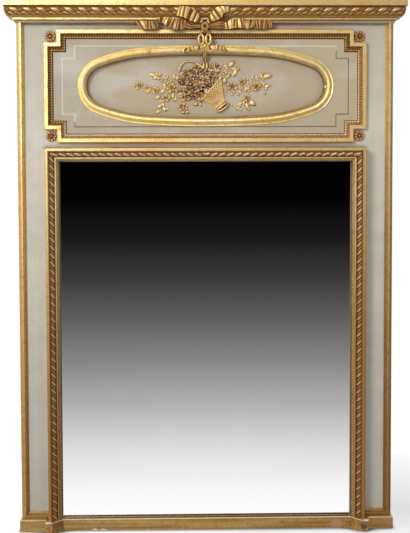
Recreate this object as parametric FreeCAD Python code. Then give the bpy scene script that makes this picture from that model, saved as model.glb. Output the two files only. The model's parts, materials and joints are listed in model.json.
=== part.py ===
"""Trumeau mirror: a tall painted and gilded wall mirror that stands on its own plinth.

X runs to the viewer's right, the front faces -Y and Z is up. The origin is on the floor, in the
middle of the width and of the depth. Inside this file a place is given as (x, h, z), where h is
the distance in front of the painted face: positive towards the viewer, negative towards the wall.
"""
import FreeCAD, Part
import math
import os

from FreeCAD import Vector

# ---------------------------------------------------------------- driving dimensions, millimetres
# Whole object
overall_height = 1900.0
carcass_width = 1340.0
wall_gap = 44.0                 # painted face to wall
front_reach = 72.0              # painted face to the foremost fold of the ribbon

# Carcass timbers
board_thickness = 24.0
stile_width = 130.0
top_board_thickness = 12.0
tenon_length = 40.0
tenon_thickness = 8.0
tenon_shoulder = 12.0
batten_thickness = 20.0
batten_inset = 30.0
bottom_batten_height = 90.0
middle_batten_height = 70.0
top_batten_height = 86.0
backboard_thickness = 8.0
backboard_count = 3
backboard_lap = 60.0
backboard_gap = 2.0
top_batten_drop = 8.0
screw_head_radius = 4.5
screw_shank_radius = 2.2
screw_length = 38.0
screw_point_gap = 4.0           # left between the screw's point and the painted face
screw_edge_distance = 35.0
wall_tie_spacing = 1000.0
wall_tie_hole_radius = 2.5
wall_tie_hole_depth = 15.0

# Plinth
plinth_height = 42.0
plinth_reach = 29.0
plinth_side_reach = 6.0
corner_height = 46.0
corner_reach = 69.0
corner_inset = 90.0             # edge of the carcass to the corner block
corner_face_width = 24.0
corner_splay_width = 35.5
base_rail_reach = 17.0
base_rail_round = 1.5
base_rail_ledge = 11.0          # top of the rail, in front of its rebate
base_rail_rebate = 3.0

# Mirror and its frame
mirror_side_margin = 100.5      # edge of the carcass to the mirror frame
mirror_top_margin = 22.0        # stepped frame to the mirror frame
mirror_frame_width = 46.5
mirror_frame_reach = 60.0
mirror_fillet_width = 10.5
twist_width = 18.0
twist_drop = 4.5                # foremost fillet down to the twist strip
twist_fall = 20.5               # twist strip's outer edge down to its inner one
twist_bulge = 5.0
inner_fillet_width = 8.0
bead_strip_width = 5.5
bead_strip_drop = 36.0          # foremost fillet down to the beads
bead_strip_fall = 4.5
bead_bulge = 2.2
mirror_setback = 4.0
glass_thickness = 4.0
glass_lap = 10.0
glass_lift = 4.0
glazing_block_length = 50.0
glazing_block_width = 9.0
glazing_blocks_across = 3
glazing_blocks_up = 4

# Border moulding round the carcass
border_width = 26.0
border_reach = 24.0

# Stepped frame of the upper panel
panel_side_margin = 95.5        # edge of the carcass to the stepped frame
panel_top_margin = 22.5         # cornice to the stepped frame
panel_frame_height = 399.0
panel_frame_step = 46.0
fillet_width = 14.5
fillet_reach = 20.0
leaf_strip_width = 18.0
leaf_strip_reach = 14.0
leaf_strip_bulge = 3.2
rosette_gap = 2.0               # rosette to the stepped frame round its corner
rosette_reach = 15.0
rosette_petals = 8

# Upper panel
panel_lap = 19.0                # stepped frame over the edge of the panel
panel_thickness = 12.0
tongue_length = 8.0
tongue_thickness = 5.0
field_side_margin = 29.0
field_end_margin = 22.0
field_step = 44.0
field_thickness = 3.0
field_bevel = 3.0
oval_panel_thickness = 8.0
oval_panel_lap = 24.0

# Oval moulding: three tangent arcs to each quarter
oval_side_margin = 118.0        # stepped frame to the oval moulding
oval_top_margin = 56.0
oval_rise = 1.5                 # above the middle of the stepped frame
oval_end_radius = 103.0
oval_end_angle = 68.6
oval_shoulder_angle = 86.2
oval_frame_width = 34.0
oval_frame_reach = 22.0
oval_bead_inset = 27.5
oval_bead_width = 5.0
oval_bead_reach = 14.5
oval_lip_width = 4.3
oval_lip_clearance = 0.3

# Cornice, from the top down
cornice_overhang = 42.0
cornice_seat = 24.5
fascia_height = 24.0
upper_quirk_height = 4.0
leaf_band_height = 30.0
leaf_band_setback = 7.0         # fascia back to the leaf strip's upper edge
leaf_band_lean = 7.0
leaf_band_bulge = 5.5
cyma_height = 4.0
cornice_fillet_height = 7.0
cornice_fillet_setback = 31.0
lower_quirk_height = 3.5
bed_band_height = 5.5
bed_band_reach = 3.5

# Ribbon and flower ornament
drawn_half_width = 456.5        # the oval that the flower carving's places are drawn in
drawn_half_height = 143.5
ribbon_thickness = 3.0
ribbon_knot_radius = 13.0
knot_reach = 44.0
knot_drop = 16.0                # cornice down to the knot
leaf_reach = 5.0
stem_width = 4.5
stem_reach = 4.0
bloom_petals = 5
petal_notch = 0.8               # a flower's radius between two petals, as a share
petal_draw = 0.8                # a flower's front outline, as a share of its back one
pendant_width = 13.0
pendant_reach = 22.0
pendant_thickness = 5.0
bow_x = -2.0                    # middle of the hanging bow
bow_drop = 56.0                 # cornice down to the middles of its loops
bow_spread = 23.0               # between the middles of its loops
bow_radius = 13.0
bow_eye_radius = 4.5
bow_eye_lift = 3.0
screw_facets = 6
bow_facets = 12
knot_facets = 10
basket_facets = 6
basket_rim_tilt = 40.0
basket_foot_tilt = 28.0

# ---------------------------------------------------------------- sizes that follow from these
half_width = carcass_width / 2
face_y = (wall_gap + front_reach) / 2 - wall_gap
stile_inner_x = half_width - stile_width
frame_outer_x = half_width - mirror_side_margin
sight_x = frame_outer_x - mirror_frame_width
bed_bottom_z = overall_height - (fascia_height + upper_quirk_height + leaf_band_height + cyma_height
                                 + cornice_fillet_height + lower_quirk_height + bed_band_height)
panel_frame_x = half_width - panel_side_margin
panel_frame_top = bed_bottom_z - panel_top_margin
panel_frame_bottom = panel_frame_top - panel_frame_height
panel_centre_z = (panel_frame_top + panel_frame_bottom) / 2
frame_top_z = panel_frame_bottom - mirror_top_margin
sight_top = frame_top_z - mirror_frame_width
glass_x = sight_x + glass_lap
glass_top_z = sight_top + glass_lap
glass_bottom_z = corner_height - glass_lap + glass_lift / 2
opening_top_z = glass_top_z + stile_inner_x - glass_x
carcass_top_z = overall_height - top_board_thickness
moulding_width = fillet_width + leaf_strip_width
rosette_radius = panel_frame_step / 2 - rosette_gap
panel_top_z = panel_frame_top - moulding_width + panel_lap
panel_bottom_z = panel_frame_bottom + moulding_width - panel_lap
corner_outer_x = half_width - corner_inset
base_rail_x = corner_outer_x - corner_face_width - corner_splay_width
oval_half_width = panel_frame_x - oval_side_margin
oval_half_height = panel_frame_height / 2 - oval_top_margin
oval_centre_z = panel_centre_z + oval_rise
oval_field_h = -panel_thickness
knot_z = bed_bottom_z - knot_drop

RIGHT = Vector(1, 0, 0)
FRONT = Vector(0, -1, 0)
UP = Vector(0, 0, 1)


def place(x, h, z):
    """The point at x, h in front of the painted face, at height z."""
    return Vector(x, face_y - h, z)


def block(x_range, h_range, z_range):
    """A squared timber between three pairs of limits."""
    size = [high - low for low, high in (x_range, h_range, z_range)]
    return Part.makeBox(*size, place(x_range[0], h_range[1], z_range[0]))


def board(outline, h_range):
    """A flat board of the given (x, z) outline."""
    face = flat([place(x, h_range[0], z) for x, z in outline])
    return face.extrude(FRONT * (h_range[1] - h_range[0]))


def section(steps, origin, across, rise):
    """A closed face. A step is a point (u, v), or a middle and an end point of an arc."""
    def at(pair):
        return origin + across * pair[0] + rise * pair[1]

    here = first = at(steps[0])
    edges = []
    for step in steps[1:]:
        if isinstance(step[0], tuple):
            middle, end = at(step[0]), at(step[1])
            edges.append(Part.Arc(here, middle, end).toShape())
        else:
            end = at(step)
            edges.append(Part.LineSegment(here, end).toShape())
        here = end
    edges.append(Part.LineSegment(here, first).toShape())
    return Part.Face(Part.Wire(edges))


def mitred(steps, start, end, across, rise, turns):
    """A straight moulding whose outer line runs from start to end.

    The section's first number runs along across and its second along rise. A turn of 1 cuts a
    mitre that shortens the far side, -1 one that lengthens it, and 0 a square end.
    """
    along = (end - start).normalize()
    box = section(steps, Vector(), across, rise).BoundBox
    corners = [Vector(x, y, z) for x in (box.XMin, box.XMax) for y in (box.YMin, box.YMax)
               for z in (box.ZMin, box.ZMax)]
    width = max(corner.dot(across) for corner in corners)
    low = min(corner.dot(rise) for corner in corners) - 1
    high = max(corner.dot(rise) for corner in corners) + 1
    bar = section(steps, start - along * width, across, rise)
    bar = bar.extrude(along * ((end - start).Length + 2 * width))
    plan = [start, end,
            end + across * width - along * (turns[1] * width),
            start + across * width + along * (turns[0] * width)]
    cutter = flat([corner + rise * low for corner in plan]).extrude(rise * (high - low))
    return bar.common(cutter)


def regular(centre, radius, sides):
    """The corners of a regular outline round centre, parallel to the painted face."""
    corners = []
    for index in range(sides):
        turn = 2 * math.pi * index / sides
        corners.append(centre + RIGHT * (radius * math.cos(turn)) + UP * (radius * math.sin(turn)))
    return corners


def flat(corners):
    """A flat face through the given corners."""
    return Part.Face(Part.makePolygon(corners + corners[:1]))


def skinned(rings):
    """A solid over rings of as many corners each, every ring joined to the next by flat faces."""
    faces = [flat(rings[0]), flat(rings[-1])]
    for low, high in zip(rings, rings[1:]):
        for index in range(len(low)):
            after = (index + 1) % len(low)
            faces.append(flat([low[index], low[after], high[after]]))
            faces.append(flat([low[index], high[after], high[index]]))
    return Part.makeSolid(Part.makeShell(faces)).removeSplitter()


def joined(pieces):
    """Several touching pieces made into one solid."""
    whole = pieces[0].fuse(pieces[1:]) if len(pieces) > 1 else pieces[0]
    return whole.removeSplitter()


def mirrored(shape):
    """The same piece on the other side of the middle."""
    return shape.mirror(Vector(), RIGHT)


def half_round(start, end, bulge):
    """A strip's section: a flat back from start to end and a bowed front."""
    middle = ((start[0] + end[0]) / 2, (start[1] + end[1]) / 2)
    span = (end[0] - start[0], end[1] - start[1])
    length = math.hypot(*span)
    crown = (middle[0] - span[1] / length * bulge, middle[1] + span[0] / length * bulge)
    return [start, (crown, end)]


# ---------------------------------------------------------------- carcass
def screw_places():
    """Where the battens and the backboards are screwed to the stiles, as (x, z, carried thickness)."""
    batten_x = half_width - batten_inset - screw_edge_distance
    places = []
    for low, height in batten_levels().values():
        for z in (low + height / 4, low + height * 3 / 4):
            places += [(side * batten_x, z, batten_thickness) for side in (-1, 1)]
    board_x = stile_inner_x + backboard_lap / 2
    for index in range(backboard_count):
        low, high = backboard_levels(index)
        places += [(side * board_x, (low + high) / 2, backboard_thickness) for side in (-1, 1)]
    return places


def screw(x, z, carried):
    """A countersunk screw that enters from the back."""
    reach = min(screw_length, carried + board_thickness - screw_point_gap)
    neck = screw_head_radius - screw_shank_radius
    head = place(x, -board_thickness - carried, z)
    steps = ((0, screw_head_radius), (neck, screw_shank_radius), (reach, screw_shank_radius))
    return skinned([regular(head + FRONT * depth, radius, screw_facets) for depth, radius in steps])


def back_screws():
    """All the screws of the back."""
    return Part.makeCompound([screw(*spot) for spot in screw_places()])


def batten_levels():
    """The lower edge and the height of each batten."""
    top_low = carcass_top_z - top_batten_drop - top_batten_height
    middle_low = (opening_top_z + panel_bottom_z) / 2 - middle_batten_height / 2
    return {"bottom": (0.0, bottom_batten_height),
            "middle": (middle_low, middle_batten_height),
            "top": (top_low, top_batten_height)}


def backboard_levels(index):
    """The lower and the upper edge of a backboard, counted from the bottom."""
    low = bottom_batten_height + backboard_gap
    pitch = (batten_levels()["middle"][0] - low) / backboard_count
    return low + index * pitch, low + (index + 1) * pitch - backboard_gap


def tenon_z_ranges():
    """The heights of the tenons of the frieze rail and of the middle rail."""
    return [(panel_top_z + tenon_shoulder, carcass_top_z - tenon_shoulder),
            (opening_top_z + tenon_shoulder, panel_bottom_z - tenon_shoulder)]


def tenon_h_range():
    """The tenon lies in the middle of the thickness."""
    middle = -board_thickness / 2
    return middle - tenon_thickness / 2, middle + tenon_thickness / 2


def tongue_h_range():
    """The tongue round the panel, and the groove that takes it."""
    middle = -panel_thickness / 2 - 1.0
    return middle - tongue_thickness / 2, middle + tongue_thickness / 2


def stile_left():
    """A full-height upright, notched over the two plinth blocks and mortised for the rails."""
    outline = [(-half_width, plinth_height), (-corner_outer_x, plinth_height),
               (-corner_outer_x, corner_height), (-stile_inner_x, corner_height),
               (-stile_inner_x, carcass_top_z), (-half_width, carcass_top_z)]
    stile = board(outline, (-board_thickness, 0))
    for z_range in tenon_z_ranges():
        mortise = block((-stile_inner_x - tenon_length, -stile_inner_x), tenon_h_range(), z_range)
        stile = stile.cut(mortise)
    groove = block((-stile_inner_x - tongue_length, -stile_inner_x), tongue_h_range(),
                   (panel_bottom_z - tongue_length, panel_top_z + tongue_length))
    stile = stile.cut(groove)
    return stile.cut([screw(*spot) for spot in screw_places() if spot[0] < 0])


def rail(z_range, tenon_range):
    """A cross rail with a tenon at each end, grooved where it meets the panel."""
    body = block((-stile_inner_x, stile_inner_x), (-board_thickness, 0), z_range)
    reach = stile_inner_x + tenon_length
    body = joined([body, block((-reach, reach), tenon_h_range(), tenon_range)])
    groove = block((-stile_inner_x, stile_inner_x), tongue_h_range(),
                   (panel_bottom_z - tongue_length, panel_top_z + tongue_length))
    return body.cut(groove)


def batten(name):
    """A batten across the back; the top one has two pilot holes for wall ties."""
    low, height = batten_levels()[name]
    reach = half_width - batten_inset
    piece = block((-reach, reach), (-board_thickness - batten_thickness, -board_thickness),
                  (low, low + height))
    if name == "top":
        for side in (-1, 1):
            mouth = place(side * wall_tie_spacing / 2, -wall_gap, low + height / 2)
            piece = piece.cut(Part.makeCylinder(wall_tie_hole_radius, wall_tie_hole_depth, mouth, FRONT))
    return piece.cut([screw(*spot) for spot in screw_places() if low < spot[1] < low + height])


def backboard(index):
    """One of the boards that lie across the back of the mirror, from stile to stile."""
    reach = stile_inner_x + backboard_lap
    low, high = backboard_levels(index)
    piece = block((-reach, reach), (-board_thickness - backboard_thickness, -board_thickness), (low, high))
    return piece.cut([screw(*spot) for spot in screw_places() if low < spot[1] < high])


# ---------------------------------------------------------------- plinth
def plinth_block_left():
    """The outer block of the plinth, under the border moulding."""
    piece = block((-half_width - plinth_side_reach, -corner_outer_x), (-board_thickness, plinth_reach),
                  (0, plinth_height))
    return piece.cut([screw(*spot) for spot in screw_places() if spot[0] < 0 and spot[1] < plinth_height])


def corner_block_left():
    """The foot of the mirror frame, splayed back to the base rail like the frame above it."""
    outline = [(-corner_outer_x, -board_thickness), (-corner_outer_x, corner_reach),
               (-corner_outer_x + corner_face_width, corner_reach), (-base_rail_x, base_rail_reach),
               (-base_rail_x, -board_thickness)]
    foot = flat([place(x, h, 0) for x, h in outline]).extrude(UP * corner_height)
    rebate = block((-stile_inner_x, -base_rail_x), (-board_thickness, -mirror_setback),
                   (glass_bottom_z - glass_lift, corner_height))
    return foot.cut(rebate)


def base_rail():
    """The rail under the mirror, rebated at the back for the glass."""
    ledge_h = base_rail_reach - base_rail_ledge
    steps = [(-board_thickness, 0), (base_rail_reach, 0), (base_rail_reach, corner_height - base_rail_round),
             (base_rail_reach - base_rail_round, corner_height), (ledge_h, corner_height),
             (ledge_h, corner_height - base_rail_rebate), (-mirror_setback, corner_height - base_rail_rebate),
             (-mirror_setback, glass_bottom_z - glass_lift),
             (-board_thickness, glass_bottom_z - glass_lift)]
    face = section(steps, place(-base_rail_x, 0, 0), FRONT, UP)
    return face.extrude(RIGHT * (2 * base_rail_x))


# ---------------------------------------------------------------- mirror
def mirror_glass():
    """The silvered plate."""
    return block((-glass_x, glass_x), (-mirror_setback - glass_thickness, -mirror_setback),
                 (glass_bottom_z, glass_top_z))


def spread(low, high, count):
    """The middles of count equal shares of the stretch from low to high."""
    return [low + (high - low) * (index + 0.5) / count for index in range(count)]


def glazing_blocks():
    """Softwood blocks that hold the plate off the timber: under it, beside it and over it."""
    glass_back = -mirror_setback - glass_thickness
    gap = stile_inner_x - glass_x
    half = glazing_block_length / 2
    along = spread(-glass_x, glass_x, glazing_blocks_across)
    blocks = [block((x - half, x + half), (-board_thickness, -mirror_setback),
                    (glass_bottom_z - glass_lift, glass_bottom_z)) for x in along]
    for z in spread(glass_bottom_z, glass_top_z, glazing_blocks_up):
        beside = block((glass_x, glass_x + gap), (-board_thickness, -mirror_setback), (z - half, z + half))
        behind = block((glass_x - glazing_block_width, glass_x), (-board_thickness, glass_back),
                       (z - half, z + half))
        pair = joined([beside, behind])
        blocks += [pair, mirrored(pair)]
    for x in along:
        over = block((x - half, x + half), (-board_thickness, -mirror_setback),
                     (glass_top_z, opening_top_z))
        behind = block((x - half, x + half), (-board_thickness, glass_back),
                       (glass_top_z - glazing_block_width, glass_top_z))
        blocks.append(joined([over, behind]))
    return Part.makeCompound(blocks)


def twist_seat():
    """The slope of the mirror frame that carries the twist strip: its outer and its inner edge."""
    outer = mirror_fillet_width + 1.5
    high = mirror_frame_reach - twist_drop
    return (outer, high), (outer + twist_width, high - twist_fall)


def mirror_bead_seat():
    """The narrow slope beside the sight edge that carries the beads."""
    outer = twist_seat()[1][0] + inner_fillet_width + 1.0
    high = mirror_frame_reach - bead_strip_drop
    return (outer, high), (outer + bead_strip_width, high - bead_strip_fall)


def mirror_frame_steps():
    """The mirror frame's section, from its high outer edge down to the glass."""
    reach = mirror_frame_reach
    twist_top, twist_foot = twist_seat()
    bead_top, bead_foot = mirror_bead_seat()
    inner = twist_foot[0] + 0.5
    crown = twist_foot[1] + 3.5
    seat = frame_outer_x - stile_inner_x
    return [(0, 0), (0, reach - 3), ((0.9, reach - 0.9), (3, reach)), (mirror_fillet_width - 1, reach),
            (mirror_fillet_width, reach - 3), twist_top, twist_foot, (inner, twist_foot[1] + 1),
            ((inner + inner_fillet_width / 2, crown), (inner + inner_fillet_width, twist_foot[1] + 1)),
            bead_top, bead_foot, (mirror_frame_width, -mirror_setback), (seat, -mirror_setback), (seat, 0)]


def mirror_leaf_steps():
    """The carved leaf strip that lies on the slope of the mirror frame."""
    return half_round(*twist_seat(), twist_bulge)


def mirror_bead_steps():
    """The row of beads beside the sight edge."""
    return half_round(*mirror_bead_seat(), bead_bulge)


def mirror_side(steps):
    """A left-hand upright of the mirror frame, mitred at the top."""
    start = place(-frame_outer_x, 0, corner_height)
    end = place(-frame_outer_x, 0, frame_top_z)
    return mitred(steps, start, end, RIGHT, FRONT, (0, 1))


def mirror_head(steps):
    """The head of the mirror frame, mitred at both ends."""
    start = place(-frame_outer_x, 0, frame_top_z)
    end = place(frame_outer_x, 0, frame_top_z)
    return mitred(steps, start, end, -UP, FRONT, (1, 1))


def mirror_beads():
    """The three bead strands of the mirror frame."""
    side = mirror_side(mirror_bead_steps())
    return Part.makeCompound([side, mirrored(side), mirror_head(mirror_bead_steps())])


# ---------------------------------------------------------------- border moulding
def border_steps():
    """The border's section: an ovolo to the ridge and a hollow down to the panel."""
    return [(0, 0), (0, 13), ((5.5, 20.5), (14, border_reach)), (17, border_reach),
            ((19, 12), (border_width, 3)), (border_width, 0)]


def border_left():
    """The border up the side of the carcass, from the plinth to the cornice."""
    start = place(-half_width, 0, plinth_height)
    end = place(-half_width, 0, bed_bottom_z)
    return mitred(border_steps(), start, end, RIGHT, FRONT, (1, 0))


def border_foot_left():
    """The short border along the plinth, from the side border to the mirror frame."""
    start = place(-half_width, 0, plinth_height)
    end = place(-frame_outer_x, 0, plinth_height)
    return mitred(border_steps(), start, end, UP, FRONT, (1, 0)).cut(corner_block_left())


# ---------------------------------------------------------------- upper panel
def stepped_outline(side_inset=0.0, end_inset=0.0, step=panel_frame_step):
    """The stepped rectangle of the upper panel, moved inwards from the stepped frame's outer line."""
    outer_x = panel_frame_x - side_inset
    inner_x = outer_x - step
    outer_z = panel_frame_height / 2 - end_inset
    inner_z = outer_z - step
    quarter = [(outer_x, inner_z), (inner_x, inner_z), (inner_x, outer_z)]
    outline = quarter + [(-x, z) for x, z in reversed(quarter)]
    outline += [(-x, -z) for x, z in quarter] + [(x, -z) for x, z in reversed(quarter)]
    return [(x, panel_centre_z + z) for x, z in outline]


def oval_arcs():
    """The three arcs of the oval's upper right quarter: centre x, centre z, radius and angles."""
    first, second = math.radians(oval_end_angle), math.radians(oval_shoulder_angle)
    # The shoulder and the long radius come from meeting the end arc and the top of the oval.
    a, b = math.cos(second) - math.cos(first), -math.cos(second)
    c, d = math.sin(second) - math.sin(first), 1 - math.sin(second)
    e = -(oval_half_width - oval_end_radius + oval_end_radius * math.cos(first))
    f = oval_half_height - oval_end_radius * math.sin(first)
    shoulder = (e * d - b * f) / (a * d - b * c)
    long_radius = (a * f - e * c) / (a * d - b * c)
    x, z = oval_half_width - oval_end_radius, 0.0
    arcs = [(x, z, oval_end_radius, 0.0, oval_end_angle)]
    x -= (shoulder - oval_end_radius) * math.cos(first)
    z -= (shoulder - oval_end_radius) * math.sin(first)
    arcs.append((x, z, shoulder, oval_end_angle, oval_shoulder_angle))
    x -= (long_radius - shoulder) * math.cos(second)
    z -= (long_radius - shoulder) * math.sin(second)
    arcs.append((x, z, long_radius, oval_shoulder_angle, 90.0))
    return arcs


def oval_wire(inset, h):
    """The oval's outline, moved inwards by inset, at distance h from the painted face."""
    edges = []
    for sign_x, sign_z in ((1, 1), (-1, 1), (-1, -1), (1, -1)):
        for x, z, radius, start, end in oval_arcs():
            points = []
            for angle in (start, (start + end) / 2, end):
                turn = math.radians(angle)
                points.append(place(sign_x * (x + (radius - inset) * math.cos(turn)), h,
                                    oval_centre_z + sign_z * (z + (radius - inset) * math.sin(turn))))
            edges.append(Part.Arc(*points).toShape())
    return Part.Wire(Part.__sortEdges__(edges))


def oval_plug(inset, h_range):
    """A solid of the oval's outline, moved inwards by inset."""
    return Part.Face(oval_wire(inset, h_range[0])).extrude(FRONT * (h_range[1] - h_range[0]))


def oval_quarter(steps, sign_x, sign_z):
    """A quarter of a moulding that follows the oval, turned about each arc's own centre."""
    pieces = []
    for x, z, radius, start, end in oval_arcs():
        centre = place(x, 0, oval_centre_z + z)
        turn = math.radians(start)
        outward = RIGHT * math.cos(turn) + UP * math.sin(turn)
        face = section(steps, centre + outward * radius, -outward, FRONT)
        pieces.append(face.revolve(centre, FRONT, end - start))
    quarter = joined(pieces)
    if sign_x < 0:
        quarter = mirrored(quarter)
    if sign_z < 0:
        quarter = quarter.mirror(Vector(0, 0, oval_centre_z), UP)
    return quarter


def upper_panel():
    """The tongued panel board behind the stepped frame, cut through for the oval."""
    reach = stile_inner_x
    body = block((-reach, reach), (-panel_thickness, 0), (panel_bottom_z, panel_top_z))
    tongue = block((-reach - tongue_length, reach + tongue_length), tongue_h_range(),
                   (panel_bottom_z - tongue_length, panel_top_z + tongue_length))
    opening = oval_plug(oval_frame_width - oval_lip_width - oval_lip_clearance, (-panel_thickness, 0))
    return joined([body, tongue]).cut(opening)


def raised_field():
    """The thin stepped board on the panel, bevelled all round and cut through for the oval."""
    rings = []
    for inset, h in ((0.0, 0.0), (field_bevel, field_thickness)):
        outline = stepped_outline(moulding_width + field_side_margin + inset,
                                  moulding_width + field_end_margin + inset, field_step)
        rings.append([place(x, h, z) for x, z in outline])
    opening = oval_plug(oval_frame_width - oval_lip_width - oval_lip_clearance, (0, field_thickness))
    return skinned(rings).cut(opening)


def oval_panel():
    """The board behind the oval opening, glued to the back of the panel."""
    inset = oval_frame_width - oval_panel_lap
    reach_x, reach_z = oval_half_width - inset, oval_half_height - inset
    return block((-reach_x, reach_x), (-panel_thickness - oval_panel_thickness, -panel_thickness),
                 (oval_centre_z - reach_z, oval_centre_z + reach_z))


def panel_frame_steps():
    """The stepped frame's section: a flat fillet and a slope for the leaf strip."""
    slope_top = leaf_strip_reach
    return [(0, 0), (0, fillet_reach - 1.5), (1.5, fillet_reach), (fillet_width - 1, fillet_reach),
            (fillet_width, fillet_reach - 1), (fillet_width, slope_top - 4),
            (moulding_width, 2), (moulding_width, 0)]


def panel_leaf_steps():
    """The leaf strip on the slope of the stepped frame."""
    fall = (leaf_strip_reach - 6) / leaf_strip_width
    low = 2 + fall
    return half_round((fillet_width + 1, leaf_strip_reach - 4 - fall), (moulding_width - 1, low),
                      leaf_strip_bulge)


def stepped_runs(steps):
    """The twelve lengths of a moulding round the stepped outline, as sides and ends."""
    outline = stepped_outline()
    lengths = []
    for index, (x, z) in enumerate(outline):
        next_x, next_z = outline[(index + 1) % len(outline)]
        start, end = place(x, 0, z), place(next_x, 0, next_z)
        along = (end - start).normalize()
        across = FRONT.cross(along) * -1
        if along.cross(across).dot(FRONT) < 0:
            across = across * -1
        turns = [-1 if corner_is_hollow(outline, spot) else 1 for spot in (index, index + 1)]
        lengths.append(mitred(steps, start, end, across, FRONT, turns))
    return lengths


def corner_is_hollow(outline, index):
    """True at the inner corner of a step, where the moulding turns outwards."""
    before, here, after = (outline[(index + shift) % len(outline)] for shift in (-1, 0, 1))
    turn = ((here[0] - before[0]) * (after[1] - here[1]) - (here[1] - before[1]) * (after[0] - here[0]))
    return turn < 0


def panel_frame_parts():
    """The stepped frame in four parts: top and bottom with their steps, and the two sides."""
    lengths = stepped_runs(panel_frame_steps())
    return {"top": joined(lengths[0:5]), "left": lengths[5],
            "bottom": joined(lengths[6:11]), "right": lengths[11]}


def rosette(x, z):
    """A flower in a corner of the stepped frame: scalloped petals round a button."""
    centre = place(x, 0, z)
    petals = scalloped(centre, rosette_radius, rosette_petals, rosette_reach * 0.6)
    rings = [regular(centre + FRONT * (rosette_reach * depth), rosette_radius * share, rosette_petals)
             for depth, share in ((0.0, 0.34), (0.8, 0.34), (1.0, 0.2))]
    return joined([petals, skinned(rings)])


def scalloped(centre, radius, petals, reach):
    """A flower outline with a blunt end to every petal, drawn up to a smaller one in front."""
    rings = []
    for share, lift in ((1.0, 0.0), (petal_draw, reach)):
        corners = []
        for index in range(3 * petals):
            turn = 2 * math.pi * index / (3 * petals)
            size = radius * share * (petal_notch if index % 3 == 0 else 1.0)
            corners.append(centre + RIGHT * (size * math.cos(turn)) + UP * (size * math.sin(turn))
                           + FRONT * lift)
        rings.append(corners)
    return skinned(rings)


def corner_rosettes():
    """The four rosettes, each in the middle of a step."""
    x = panel_frame_x - panel_frame_step / 2
    z = panel_frame_height / 2 - panel_frame_step / 2
    return Part.makeCompound([rosette(side * x, panel_centre_z + level * z)
                              for side in (-1, 1) for level in (-1, 1)])


def oval_frame_steps():
    """The oval moulding's section: fillet, quirk, large torus, bead seat and a lip to the panel."""
    reach = oval_frame_reach
    inner = oval_frame_width
    bead_top, bead_foot = oval_bead_seat()
    return [(0, field_thickness), (0, 8), (4.5, 6.5), (11, reach - 2), (16, reach), (22, reach - 1),
            bead_top, bead_foot, (inner, oval_field_h),
            (inner - oval_lip_width, oval_field_h), (inner - oval_lip_width, field_thickness)]


def oval_bead_seat():
    """The narrow slope of the oval moulding that carries its beads."""
    return (oval_bead_inset, oval_bead_reach), (oval_bead_inset + oval_bead_width, oval_bead_reach - 1)


def oval_beads():
    """The bead strand inside the oval moulding."""
    top, foot = oval_bead_seat()
    steps = [top, ((top[0] + foot[0]) / 2, top[1] + bead_bulge), foot]
    quarters = [oval_quarter(steps, x, z) for x in (-1, 1) for z in (-1, 1)]
    return joined(quarters)


# ---------------------------------------------------------------- cornice
def cornice_steps():
    """The cornice's section: fillet, cyma, slope for the leaves, quirk and fascia."""
    low = bed_bottom_z + bed_band_height + lower_quirk_height
    cyma = low + cornice_fillet_height
    leaf = cyma + cyma_height
    quirk = leaf + leaf_band_height
    fascia = quirk + upper_quirk_height
    over = cornice_overhang
    low_over = over - cornice_fillet_setback
    leaf_top, leaf_foot = cornice_leaf_seat()
    middle = (low_over + 2 + leaf_foot[0] - 2) / 2
    return [(0, low), (low_over, low), (low_over, cyma), (low_over + 2, cyma),
            ((low_over + 4, cyma + cyma_height * 0.4), (middle, cyma + cyma_height / 2)),
            ((leaf_foot[0] - 4, cyma + cyma_height * 0.6), (leaf_foot[0] - 2, leaf)), leaf_foot, leaf_top,
            (leaf_top[0] - 2, quirk), (leaf_top[0] - 2, fascia), (over - 1, fascia), (over, fascia + 1),
            (over, overall_height - 2), (over - 2, overall_height), (0, overall_height)]


def cornice_leaf_seat():
    """The slope of the cornice that carries the large leaves: its upper and its lower edge."""
    quirk = overall_height - fascia_height - upper_quirk_height
    top = cornice_overhang - leaf_band_setback
    return (top, quirk), (top - leaf_band_lean, quirk - leaf_band_height)


def cornice_leaf_steps():
    """The strip of large leaves under the fascia."""
    return half_round(*cornice_leaf_seat(), leaf_band_bulge)


def cornice_front(steps):
    """The front length, mitred at both ends."""
    start, end = place(-half_width, cornice_seat, 0), place(half_width, cornice_seat, 0)
    return mitred(steps, start, end, FRONT, UP, (-1, -1))


def cornice_left_return(steps):
    """The return down the left side, from the front mitre to the wall."""
    start, end = place(-half_width, cornice_seat, 0), place(-half_width, -wall_gap, 0)
    return mitred(steps, start, end, -RIGHT, UP, (-1, 0))


def cornice_leaf():
    """The leaf strip of the front and of both returns."""
    steps = cornice_leaf_steps()
    side = cornice_left_return(steps)
    return Part.makeCompound([cornice_front(steps), side, mirrored(side)])


def cornice_bed():
    """The painted bed of the cornice: a thick board on the frieze with a projecting lower edge."""
    core = block((-half_width, half_width), (0, cornice_seat), (bed_bottom_z, carcass_top_z))
    band_top = bed_bottom_z + bed_band_height
    over = bed_band_reach
    band = block((-half_width - over, half_width + over), (-board_thickness, cornice_seat + over),
                 (bed_bottom_z, band_top))
    hollow = block((-half_width, half_width), (-board_thickness, 0), (bed_bottom_z, band_top))
    return joined([core, band.cut(hollow)])


def top_board():
    """The dust board over the carcass, inside the cornice."""
    return block((-half_width, half_width), (-wall_gap, cornice_seat), (carcass_top_z, overall_height))


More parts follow.
